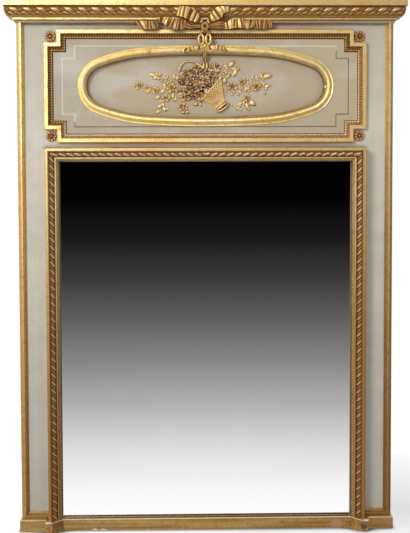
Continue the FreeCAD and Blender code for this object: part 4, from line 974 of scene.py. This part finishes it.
GOLD = (0.80, 0.54, 0.175)
PALE_GOLD = (0.89, 0.70, 0.36)
ROSE_GOLD = (0.86, 0.56, 0.34)
GREEN_GOLD = (0.80, 0.66, 0.24)
OLD_GOLD = (0.42, 0.225, 0.065)
BOLE = (0.33, 0.125, 0.028)
UMBER = (0.10, 0.042, 0.007)
GESSO = (0.75, 0.68, 0.56)
# The crevice colour paints shade and dirt into quirks; the rubbed colour paints a pale band of highlight and
# wear.
CREVICE_DIRT_AND_SHADE = (0.06, 0.03, 0.008)
RUBBED_AND_LIT = (0.86, 0.72, 0.42)
BASE_GOLD = (0.84, 0.55, 0.16)
LEVEL_GRAIN, UPRIGHT_GRAIN = (0.05, 1.0, 1.0), (1.0, 1.0, 0.05)

# Chips and stains of the plinth, as (place in millimetres, radius, colour)
worn_places = [((-568, -55, 22), 9, (0.46, 0.18, 0.07)), ((-574, -55, 44), 10, (0.86, 0.80, 0.72)),
               ((-408, -3, 1), 9, (0.90, 0.80, 0.58)), ((-376, -3, 0), 8, (0.90, 0.80, 0.58)),
               ((470, -3, 16), 22, (0.62, 0.31, 0.19)), ((560, -55, 20), 16, (0.16, 0.10, 0.05)),
               ((574, -55, 43), 10, (0.80, 0.72, 0.55)), ((-640, -15, 44), 14, (0.68, 0.46, 0.33))]


def near_spot(tree, spot, radius):
    """1 at a spot given in millimetres, 0 beyond a long oval round it, with a ragged edge."""
    where = node(tree, "ShaderNodeTexCoord")
    apart = node(tree, "ShaderNodeVectorMath", operation="SUBTRACT")
    tree.links.new(where.outputs["Object"], apart.inputs[0])
    apart.inputs[1].default_value = tuple(value * MM for value in spot)
    drawn_out = node(tree, "ShaderNodeVectorMath", operation="MULTIPLY")
    tree.links.new(apart.outputs[0], drawn_out.inputs[0])
    drawn_out.inputs[1].default_value = (0.5, 1.0, 1.0)
    away = node(tree, "ShaderNodeVectorMath", operation="LENGTH")
    tree.links.new(drawn_out.outputs[0], away.inputs[0])
    ragged = times(tree, noise(tree, 160.0, detail=5.0, offset=61.0), radius * MM * 1.4)
    reach = plus(tree, away.outputs["Value"], ragged)
    return span(tree, reach, radius * MM * 1.4, radius * MM * 1.2)


def gilding(name, carved=False, tarnish=0.0, foot=0.0, gold=GOLD, pale=PALE_GOLD, sight=False, lines=(),
            chipped=False, rim=None, right=0.22, foot_from=1.35, mottled=0.6):
    """Old water gilding: gold leaf rubbed to bole and gesso, browned in the hollows and near the foot.

    In the hollows the browning is patina and painted shade; near the foot it is tarnish and painted shade.
    Right browns the right side as painted shade. Rim and sight paint shade in the oval's recess and on the
    sight wall; lines paint bands of shade and dirt, and of highlight and wear.
    """
    material, tree, shader = new_material(name)
    cloud = noise(tree, 6.0, detail=5.0)
    fine = noise(tree, 70.0, detail=6.0, roughness=0.65, offset=3.0)
    grain = noise(tree, 260.0, detail=3.0, offset=5.0)
    colour = blend(tree, span(tree, cloud, 0.36, 0.66), gold, pale)
    mottle = noise(tree, 38.0, detail=4.0, roughness=0.6, offset=21.0)
    colour = blend(tree, span(tree, mottle, 0.5, 0.66, 0.0, mottled), colour, ROSE_GOLD)
    colour = blend(tree, span(tree, mottle, 0.46, 0.34, 0.0, mottled), colour, GREEN_GOLD)
    # Painted shade: the gold browns towards the right, away from the lamp on the left.
    painted_right_shade = span(tree, place_socket(tree, "X"), -0.1, 0.6, 0.0, right)
    tarnish_and_shade = plus(tree, plus(tree, span(tree, fine, 0.5, 0.78, 0.0, 0.55), tarnish), painted_right_shade)
    # Towards the foot the gold browns: tarnish, and painted shade of the light that falls off downwards.
    if foot:
        tarnish_and_shade = plus(tree, tarnish_and_shade, span(tree, place_socket(tree, "Z"), foot_from, 0.35, 0.0, foot))
    colour = blend(tree, tarnish_and_shade, colour, OLD_GOLD)
    worn_ground = noise(tree, 22.0, detail=7.0, roughness=0.7, offset=9.0)
    patches = times(tree, span(tree, worn_ground, 0.6, 0.7), 0.55)
    colour = blend(tree, patches, colour, BOLE)
    if carved:
        # The deeper the hollow, the browner and darker: umber patina, and painted shade of the recesses.
        attribute = node(tree, "ShaderNodeAttribute", attribute_name="hollow")
        deep = attribute.outputs["Fac"]
        colour = blend(tree, span(tree, deep, 0.15, 0.6, 0.0, 0.85), colour, BOLE)
        colour = blend(tree, span(tree, deep, 0.5, 0.95, 0.0, 0.95), colour, UMBER)
        dull = span(tree, deep, 0.1, 0.7)
        shader.inputs["Specular IOR Level"].default_value = 0.2
    else:
        worn = times(tree, edge_wear(tree, 0.0016), span(tree, fine, 0.42, 0.6))
        limit = 0.5 if chipped else 0.62
        chips = span(tree, noise(tree, 45.0, detail=5.0, offset=13.0), limit, limit + 0.04)
        if chipped:
            streaks = noise(tree, 90.0, stretch=(0.03, 1.0, 1.0), detail=5.0, offset=31.0)
            colour = blend(tree, span(tree, streaks, 0.42, 0.62, 0.0, 0.75), colour, (0.33, 0.155, 0.035))
            blush = span(tree, noise(tree, 14.0, detail=3.0, offset=41.0), 0.6, 0.68, 0.0, 0.8)
            colour = blend(tree, blush, colour, (0.55, 0.27, 0.15))
            for spot, radius, shade in worn_places:
                colour = blend(tree, near_spot(tree, spot, radius), colour, shade)
        colour = blend(tree, times(tree, worn, 0.75), colour, BOLE)
        colour = blend(tree, times(tree, worn, chips), colour, GESSO)
        dull = calc(tree, "MAXIMUM", worn, patches)
    # Bands by height: painted shade and dirt in quirks, and pale bands of painted highlight and wear.
    for low, high, shade in lines:
        z = place_socket(tree, "Z")
        inside = times(tree, span(tree, z, (low - 0.3) * MM, (low + 0.3) * MM),
                       span(tree, z, (high + 0.3) * MM, (high - 0.3) * MM))
        colour = blend(tree, times(tree, inside, 0.9), colour, shade)
        dull = calc(tree, "MAXIMUM", dull, inside)
    if rim is not None:
        # Painted shade: parts less than rim in front of the painted face, down in the recess, are drawn dark.
        low = span(tree, place_socket(tree, "Y"), (face_y - rim - 1.0) * MM, (face_y - rim) * MM)
        colour = blend(tree, times(tree, low, 0.88), colour, (0.085, 0.05, 0.015))
        dull = calc(tree, "MAXIMUM", dull, low)
    if sight:
        # Painted shade: the sight wall beside the glass is drawn near black.
        line_x, line_z = (frame_outer_x - sight_inset) * MM, (frame_top_z - sight_inset) * MM
        across = calc(tree, "ABSOLUTE", place_socket(tree, "X"), 0.0)
        sight_wall_shade = times(tree, span(tree, across, line_x + 0.0004, line_x - 0.0004),
                     span(tree, place_socket(tree, "Z"), line_z + 0.0004, line_z - 0.0004))
        colour = blend(tree, times(tree, sight_wall_shade, 0.9), colour, (0.045, 0.027, 0.012))
        dull = calc(tree, "MAXIMUM", dull, sight_wall_shade)
    tree.links.new(colour, shader.inputs["Base Color"])
    tree.links.new(span(tree, dull, 0.0, 1.0, 0.82, 0.25), shader.inputs["Metallic"])
    rough = plus(tree, span(tree, fine, 0.3, 0.7, 0.33, 0.5), times(tree, dull, 0.25))
    tree.links.new(rough, shader.inputs["Roughness"])
    bump(tree, shader, plus(tree, times(tree, fine, 0.6), times(tree, grain, 0.4)), 0.35, 0.0012)
    return material


def faded_paint(name, light, dark, dirt, outlined=False, high=(1.30, 1.37, 0.9), warm=0.0, sides=None):
    """Grey-green paint, yellowed and streaked; painted shade darkens it to the right, and painted shadow
    with grime lies under the mouldings.

    Its back is bare wood. High is where the upper part darkens: from, to, how much.
    Outlined paints highlight and shade along the arrises of the raised field.
    """
    material, tree, shader = new_material(name)
    cloud = noise(tree, 3.2, detail=4.0)
    patches = noise(tree, 11.0, stretch=(0.6, 1.0, 1.0), detail=5.0, roughness=0.6, offset=7.0)
    streaks = noise(tree, 34.0, stretch=(1.0, 1.0, 0.06), detail=5.0, roughness=0.6)
    speckle = noise(tree, 150.0, detail=5.0, roughness=0.7, offset=4.0)
    x, z = place_socket(tree, "X"), place_socket(tree, "Z")
    colour = blend(tree, span(tree, cloud, 0.35, 0.65), light, dark)
    aside = span(tree, calc(tree, "ABSOLUTE", x, 0.0), 0.38, 0.55)
    if sides:
        colour = blend(tree, aside, colour, sides)
    # Painted shade: darker towards the right, away from the lamp on the left.
    colour = blend(tree, times(tree, span(tree, x, -0.35, 0.65), 0.15), colour, (0.53, 0.49, 0.385))
    colour = blend(tree, times(tree, span(tree, z, 1.2, 0.1), 0.75), colour, (0.47, 0.485, 0.44))
    above = span(tree, z, high[0], high[1], 0.0, high[2])
    if sides:
        above = times(tree, above, span(tree, aside, 0.0, 1.0, 1.0, 0.3))
    colour = blend(tree, above, colour, (0.75, 0.69, 0.63), "MULTIPLY")
    colour = blend(tree, span(tree, patches, 0.45, 0.7, 0.0, dirt), colour, (0.36, 0.27, 0.165))
    under_bed = cornice_low_z * MM
    # Painted shadow with grime: a dark band just under the cornice bed, and one over the mirror frame's head.
    for low, full in ((under_bed - 0.009, under_bed - 0.002), (1.395, 1.381)):
        shadow_and_grime = times(tree, span(tree, z, low, full), span(tree, z, full + (full - low) * 0.5, full))
        if low < 1.5:
            beside = span(tree, calc(tree, "ABSOLUTE", x, 0.0), frame_outer_x * MM + 0.02, frame_outer_x * MM)
            shadow_and_grime = times(tree, shadow_and_grime, beside)
        shadow_and_grime = times(tree, shadow_and_grime, span(tree, patches, 0.3, 0.6, 0.45, 0.9))
        colour = blend(tree, shadow_and_grime, colour, (0.13, 0.085, 0.045))
    bed = span(tree, z, under_bed - 0.001, under_bed + 0.001, 0.0, 0.85)
    colour = blend(tree, bed, colour, (0.33, 0.18, 0.07))
    colour = blend(tree, span(tree, streaks, 0.35, 0.72, 0.0, 0.32), colour, (0.42, 0.37, 0.28))
    colour = blend(tree, span(tree, speckle, 0.58, 0.75, 0.0, 0.4), colour, (0.36, 0.29, 0.20))
    colour = blend(tree, span(tree, speckle, 0.42, 0.26, 0.0, 0.35), colour, (0.72, 0.71, 0.63))
    if warm:
        colour = blend(tree, span(tree, x, -0.25, 0.5, 0.0, warm), colour, (0.52, 0.43, 0.27))
        haze = noise(tree, 7.0, stretch=(0.5, 1.0, 1.0), detail=4.0, offset=51.0)
        colour = blend(tree, span(tree, haze, 0.5, 0.62, 0.0, 0.5), colour, (0.60, 0.575, 0.53))
    if outlined:
        # Painted highlight and shade on the field's arrises: pale towards the upper left, dark towards the
        # lower right.
        over_centre = times(tree, calc(tree, "SUBTRACT", z, oval_centre_z * MM), 3.7)
        upper_left = calc(tree, "SUBTRACT", over_centre, x)
        line = blend(tree, span(tree, upper_left, -0.02, 0.02), (0.12, 0.08, 0.045), (0.98, 0.90, 0.74))
        colour = blend(tree, edge_wear(tree, 0.004), colour, line)
    geometry = node(tree, "ShaderNodeNewGeometry")
    facing = node(tree, "ShaderNodeSeparateXYZ")
    tree.links.new(geometry.outputs["True Normal"], facing.inputs["Vector"])
    wood, _ = bare_wood(tree, UPRIGHT_GRAIN if name == "stile_paint" else LEVEL_GRAIN)
    colour = blend(tree, span(tree, facing.outputs["Y"], 0.5, 0.8), colour, wood)
    tree.links.new(colour, shader.inputs["Base Color"])
    tree.links.new(span(tree, cloud, 0.3, 0.7, 0.5, 0.66), shader.inputs["Roughness"])
    bump(tree, shader, plus(tree, times(tree, streaks, 0.6), times(tree, speckle, 0.4)), 0.4, 0.0008)
    return material


def bare_wood(tree, along):
    """The colour and the grain of aged, unfinished softwood; along is the stretch that lays its grain."""
    bands = noise(tree, 30.0, stretch=along, detail=3.0, offset=2.0)
    grain = noise(tree, 90.0, stretch=along, detail=6.0, roughness=0.7)
    stain = noise(tree, 2.0)
    colour = blend(tree, span(tree, bands, 0.35, 0.65), (0.30, 0.18, 0.09), (0.40, 0.26, 0.135))
    colour = blend(tree, span(tree, grain, 0.4, 0.75, 0.0, 0.6), colour, (0.17, 0.095, 0.045))
    colour = blend(tree, span(tree, stain, 0.4, 0.7, 0.0, 0.5), colour, (0.22, 0.15, 0.09))
    return colour, grain


def bare_softwood(name, along):
    """Bare boards and battens."""
    material, tree, shader = new_material(name)
    colour, grain = bare_wood(tree, along)
    tree.links.new(colour, shader.inputs["Base Color"])
    tree.links.new(span(tree, grain, 0.3, 0.7, 0.7, 0.9), shader.inputs["Roughness"])
    bump(tree, shader, grain, 0.4, 0.0008)
    return material


def mirror_plate():
    """Silvered plate glass."""
    material, tree, shader = new_material("mirror_plate")
    haze = noise(tree, 5.0)
    tree.links.new(span(tree, haze, 0.3, 0.7, 0.0, 0.02), shader.inputs["Roughness"])
    tree.links.new(blend(tree, span(tree, haze, 0.3, 0.7), (0.97, 0.975, 0.97), (0.98, 0.985, 0.98)),
                   shader.inputs["Base Color"])
    shader.inputs["Metallic"].default_value = 1.0
    return material


def screw_steel():
    """Dull, lightly rusted steel."""
    material, tree, shader = new_material("screw_steel")
    rust = noise(tree, 300.0, detail=5.0)
    tree.links.new(blend(tree, span(tree, rust, 0.45, 0.65), (0.32, 0.30, 0.28), (0.20, 0.10, 0.05)),
                   shader.inputs["Base Color"])
    tree.links.new(span(tree, rust, 0.45, 0.65, 0.35, 0.8), shader.inputs["Roughness"])
    shader.inputs["Metallic"].default_value = 0.9
    return material


gilt = gilding("gilded_wood", foot=0.9)
gilt_carving = gilding("gilded_carving", carved=True, tarnish=0.24, foot=0.3)
node_materials = {
    "painted_wood": faded_paint("faded_paint", (0.58, 0.51, 0.375), (0.62, 0.53, 0.385), 0.25,
                                sides=(0.65, 0.65, 0.585)),
    "gilded_wood": gilt,
    "gilded_carving": gilt_carving,
    "bare_softwood": bare_softwood("bare_softwood", LEVEL_GRAIN),
    "mirror_plate": mirror_plate(),
    "screw_steel": screw_steel(),
}
for part in frame["record"]["subparts"]:
    mesh = frame["nodes"][part["node"]].data
    mesh.materials.clear()
    mesh.materials.append(node_materials[part["material_slot"]])


# ---------------------------------------------------------------- coats of single pieces
def coat(material, *names):
    """Gives CAD nodes a material of their own."""
    for name in names:
        frame["nodes"][name].data.materials[0] = material


coat(faded_paint("stile_paint", (0.65, 0.655, 0.595), (0.68, 0.665, 0.59), 0.25, high=(1.45, 1.80, 0.75)),
     "left_stile", "right_stile")
coat(faded_paint("panel_paint", (0.56, 0.54, 0.46), (0.58, 0.55, 0.46), 0.4, warm=0.6), "upper_panel")
coat(faded_paint("field_paint", (0.57, 0.555, 0.49), (0.60, 0.57, 0.48), 0.3, outlined=True, warm=0.6),
     "raised_field")
coat(faded_paint("oval_paint", (0.60, 0.51, 0.37), (0.64, 0.56, 0.435), 0.22, warm=0.3), "oval_panel")
coat(gilding("sight_gilding", tarnish=0.12, foot=0.95, foot_from=1.5, sight=True),
     "mirror_frame_left", "mirror_frame_right", "mirror_frame_top")
# The cornice: painted shade to the right, and bands of painted shade and dirt in its quirks.
bed_top = cornice_low_z + 5.5
cornice_gilt = gilding("cornice_gilding", tarnish=0.16, right=0.3, lines=[
    (bed_top, bed_top + 3.5, CREVICE_DIRT_AND_SHADE), (bed_top + 10.5, bed_top + 12.0, CREVICE_DIRT_AND_SHADE),
    (cornice_leaf_low + 29.5, cornice_leaf_low + 34.0, CREVICE_DIRT_AND_SHADE)])
coat(gilding("border_gilding", foot=0.8, foot_from=1.62, right=0.05, gold=(0.80, 0.51, 0.15),
             pale=(0.88, 0.68, 0.33)), "border_left", "border_right")
# Rail and plinth: painted shade and dirt over the rail, painted highlight and wear under the top arrises.
rail_top = edge("base_rail", 1, 2)
rail_gilt = gilding("rail_gilding", foot=0.55, chipped=True, gold=BASE_GOLD, lines=[
    (rail_top - 2.6, rail_top + 2.0, CREVICE_DIRT_AND_SHADE), (rail_top - 7.0, rail_top - 3.6, RUBBED_AND_LIT)])
plinth_top = edge("plinth_block_left", 1, 2)
base_gilt = gilding("base_gilding", foot=0.6, chipped=True, gold=BASE_GOLD,
                    lines=[(plinth_top - 2.4, plinth_top + 0.2, RUBBED_AND_LIT)])
oval_gilt = gilding("oval_gilding", rim=4.5, gold=(0.97, 0.74, 0.27), pale=(1.0, 0.86, 0.48), mottled=0.25)
for part in frame["record"]["subparts"]:
    name = part["node"]
    if part["material_slot"] == "gilded_wood" and name.startswith("cornice"):
        coat(cornice_gilt, name)
    if part["material_slot"] == "gilded_wood" and edge(name, 1, 2) < plinth_zone:
        coat(rail_gilt if name == "base_rail" else base_gilt, name)
    if name.startswith("oval_frame"):
        coat(oval_gilt, name)
flower_gilt = gilding("flower_gilding", carved=True, gold=(0.74, 0.52, 0.29), pale=(0.95, 0.80, 0.55))
rosette_gilt = gilding("rosette_gilding", carved=True, gold=(0.72, 0.44, 0.20), pale=(0.96, 0.78, 0.52))
spray_gilt = gilding("spray_gilding", carved=True, gold=(0.90, 0.64, 0.25), pale=(1.0, 0.84, 0.50),
                     mottled=0.4)
twist_gilt = gilding("twist_gilding", carved=True, foot=0.5, gold=(0.88, 0.62, 0.33), pale=(0.98, 0.80, 0.55))
bead_gilt = gilding("bead_gilding", carved=True, foot=0.4, gold=(0.94, 0.70, 0.28), pale=(1.0, 0.85, 0.50))
# Paler gold for the stepped frame's strips that face the lamp: painted light and rubbed gilding.
rubbed_and_lit_carving = gilding("rubbed_and_lit_carving", carved=True, gold=(0.88, 0.72, 0.46), pale=(0.90, 0.78, 0.56),
                       mottled=0.2)
basket_gilt = gilding("basket_gilding", carved=True, gold=(0.94, 0.63, 0.23), pale=(1.0, 0.78, 0.42))

mirror_frame_carving(twist_gilt, bead_gilt)
panel_frame_carving(gilt_carving, rubbed_and_lit_carving)
rosette_carving(rosette_gilt)
oval_carving(bead_gilt)
cornice_carving(gilt_carving)
bow_carving(gilt_carving)
pendant_carving(gilt_carving)
basket_carving(basket_gilt)
flower_mass_carving(flower_gilt)
spray_carving(spray_gilt)


# ---------------------------------------------------------------- stage, light and camera
def stage_plane(name, corners, material):
    """A flat sheet that isn't part of the object."""
    mesh = bpy.data.meshes.new(name)
    mesh.from_pydata(corners, [], [(0, 1, 2, 3)])
    mesh.materials.append(material)
    sheet = bpy.data.objects.new(name, mesh)
    bpy.context.scene.collection.objects.link(sheet)
    return sheet


def pale_floor():
    """White and matt. The camera sees it glow a little, as painted light, least behind the object's right side,
    where a painted shadow lies, and dark in a painted contact shadow along the object's foot.
    """
    material, tree, shader = new_material("pale_floor")
    tone = noise(tree, 1.5)
    tree.links.new(blend(tree, tone, (0.86, 0.86, 0.86), (0.88, 0.88, 0.88)), shader.inputs["Base Color"])
    shader.inputs["Roughness"].default_value = 0.8
    shader.inputs["Specular IOR Level"].default_value = 0.1
    # Painted shadow: greyer just behind the object, paler far behind it and towards the left.
    depth = grey_ramp(tree, place_socket(tree, "Y"), -0.1, 1.2, [
        (-0.1, 0.93), (0.05, 0.81), (0.24, 0.745), (0.39, 0.79), (0.72, 0.89), (1.2, 1.0)])
    left = span(tree, place_socket(tree, "X"), 0.2, -0.5)
    glow = node(tree, "ShaderNodeEmission", Strength=1.05)
    # Painted contact shadow: darker where the floor meets the object, within the carcass's width only.
    near = node(tree, "ShaderNodeAmbientOcclusion", samples=8, Distance=0.05)
    painted_contact_shadow = span(tree, near.outputs["AO"], 0.97, 0.5)
    painted_contact_shadow = times(tree, calc(tree, "POWER", painted_contact_shadow, 1.3), 0.97)
    beside = calc(tree, "ABSOLUTE", place_socket(tree, "X"), 0.0)
    painted_contact_shadow = times(tree, painted_contact_shadow, span(tree, beside, 0.69, 0.677))
    light = blend(tree, left, depth, (1.2, 1.2, 1.2))
    tree.links.new(blend(tree, painted_contact_shadow, light, (0.02, 0.018, 0.016)), glow.inputs["Color"])
    faint = node(tree, "ShaderNodeMixShader")
    faint.inputs[0].default_value = 0.88
    tree.links.new(shader.outputs[0], faint.inputs[1])
    tree.links.new(glow.outputs[0], faint.inputs[2])
    path = node(tree, "ShaderNodeLightPath")
    seen = node(tree, "ShaderNodeMixShader")
    tree.links.new(path.outputs["Is Camera Ray"], seen.inputs[0])
    tree.links.new(shader.outputs[0], seen.inputs[1])
    tree.links.new(faint.outputs[0], seen.inputs[2])
    tree.links.new(seen.outputs[0], tree.nodes["Material Output"].inputs["Surface"])
    return material


floor = stage_plane("floor", [(-6, -8, 0), (6, -8, 0), (6, 1.2, 0), (-6, 1.2, 0)], pale_floor())
floor.visible_glossy = False

# What the mirror plate shows: dark above the camera's level, paler and paler towards the ground.
world = bpy.data.worlds.new("studio")
bpy.context.scene.world = world
world.use_nodes = True
tree = world.node_tree
tree.nodes.clear()
direction = node(tree, "ShaderNodeTexCoord")
apart = node(tree, "ShaderNodeSeparateXYZ")
tree.links.new(direction.outputs["Generated"], apart.inputs["Vector"])
seen_colour = grey_ramp(tree, apart.outputs["Z"], -0.6, 0.55, [
    (-0.6, 0.3), (-0.42, 0.55), (-0.33, 0.8), (-0.27, 1.02), (-0.245, 0.95), (-0.2096, 0.72), (-0.1746, 0.44),
    (-0.139, 0.25), (-0.1036, 0.122), (-0.068, 0.045), (-0.0326, 0.0103), (0.003, 0.0009), (0.045, 0.0),
    (0.12, 0.6), (0.3, 1.1), (0.55, 1.2)])
across = span(tree, apart.outputs["X"], -0.6, 0.6)
sides = blend(tree, across, (0.80, 0.78, 0.74), (0.22, 0.21, 0.20))
outside = span(tree, calc(tree, "ABSOLUTE", apart.outputs["X"], 0.0), 0.2, 0.42)
seen = node(tree, "ShaderNodeBackground", Strength=1.0)
tree.links.new(blend(tree, outside, seen_colour, sides), seen.inputs["Color"])
soft = node(tree, "ShaderNodeBackground", Strength=0.43)
soft.inputs["Color"].default_value = (1.0, 0.985, 0.95, 1)
white = node(tree, "ShaderNodeBackground", Strength=1.0)
white.inputs["Color"].default_value = (1, 1, 1, 1)
path = node(tree, "ShaderNodeLightPath")
first = node(tree, "ShaderNodeMixShader")
tree.links.new(path.outputs["Is Glossy Ray"], first.inputs[0])
tree.links.new(soft.outputs[0], first.inputs[1])
tree.links.new(seen.outputs[0], first.inputs[2])
second = node(tree, "ShaderNodeMixShader")
tree.links.new(path.outputs["Is Camera Ray"], second.inputs[0])
tree.links.new(first.outputs[0], second.inputs[1])
tree.links.new(white.outputs[0], second.inputs[2])
out = node(tree, "ShaderNodeOutputWorld")
tree.links.new(second.outputs[0], out.inputs["Surface"])


def softbox(name, spot, target, size, power, colour=(1, 1, 1)):
    """A large square lamp at spot that faces target."""
    lamp = bpy.data.lights.new(name, "AREA")
    lamp.shape = "SQUARE"
    lamp.size = size
    lamp.energy = power
    lamp.color = colour
    made = bpy.data.objects.new(name, lamp)
    made.location = spot
    aim = Vector(target) - Vector(spot)
    made.rotation_euler = aim.to_track_quat("-Z", "Y").to_euler()
    bpy.context.scene.collection.objects.link(made)


softbox("key_lamp", (-2.1, -4.4, 2.8), (0.0, 0.0, 1.2), 1.6, 119.0, (1.0, 0.985, 0.95))
softbox("fill_lamp", (2.6, -3.4, 1.6), (0.0, 0.0, 0.9), 2.0, 14.0)

# The camera, as fitted to the photograph. Angles in radians, focal length in pixels of the photograph.
photo_height = 533.0
sensor = 36.0
focal_pixels = 1143.2
yaw, pitch, roll = -0.0253296, -0.0558488, -0.0032225
eye = Vector((-0.10854, face_y * MM - 4.11312, 1.18551))
turn_yaw = Matrix(((math.cos(yaw), math.sin(yaw), 0), (-math.sin(yaw), math.cos(yaw), 0), (0, 0, 1)))
turn_pitch = Matrix(((1, 0, 0), (0, math.cos(pitch), math.sin(pitch)),
                     (0, -math.sin(pitch), math.cos(pitch))))
turn_roll = Matrix(((math.cos(roll), 0, math.sin(roll)), (0, 1, 0), (-math.sin(roll), 0, math.cos(roll))))
seen_from = (turn_roll @ turn_pitch @ turn_yaw).transposed()
right, forward, up = (seen_from @ Vector(axis) for axis in ((1, 0, 0), (0, 1, 0), (0, 0, 1)))
camera_data = bpy.data.cameras.new("camera")
camera_data.sensor_fit = "VERTICAL"
camera_data.sensor_height = sensor
camera_data.lens = focal_pixels / photo_height * sensor
camera = bpy.data.objects.new("camera", camera_data)
camera.matrix_world = Matrix.Translation(eye) @ Matrix((right, up, -forward)).transposed().to_4x4()
bpy.context.scene.collection.objects.link(camera)
bpy.context.scene.camera = camera
bpy.context.scene.view_settings.view_transform = "Standard"
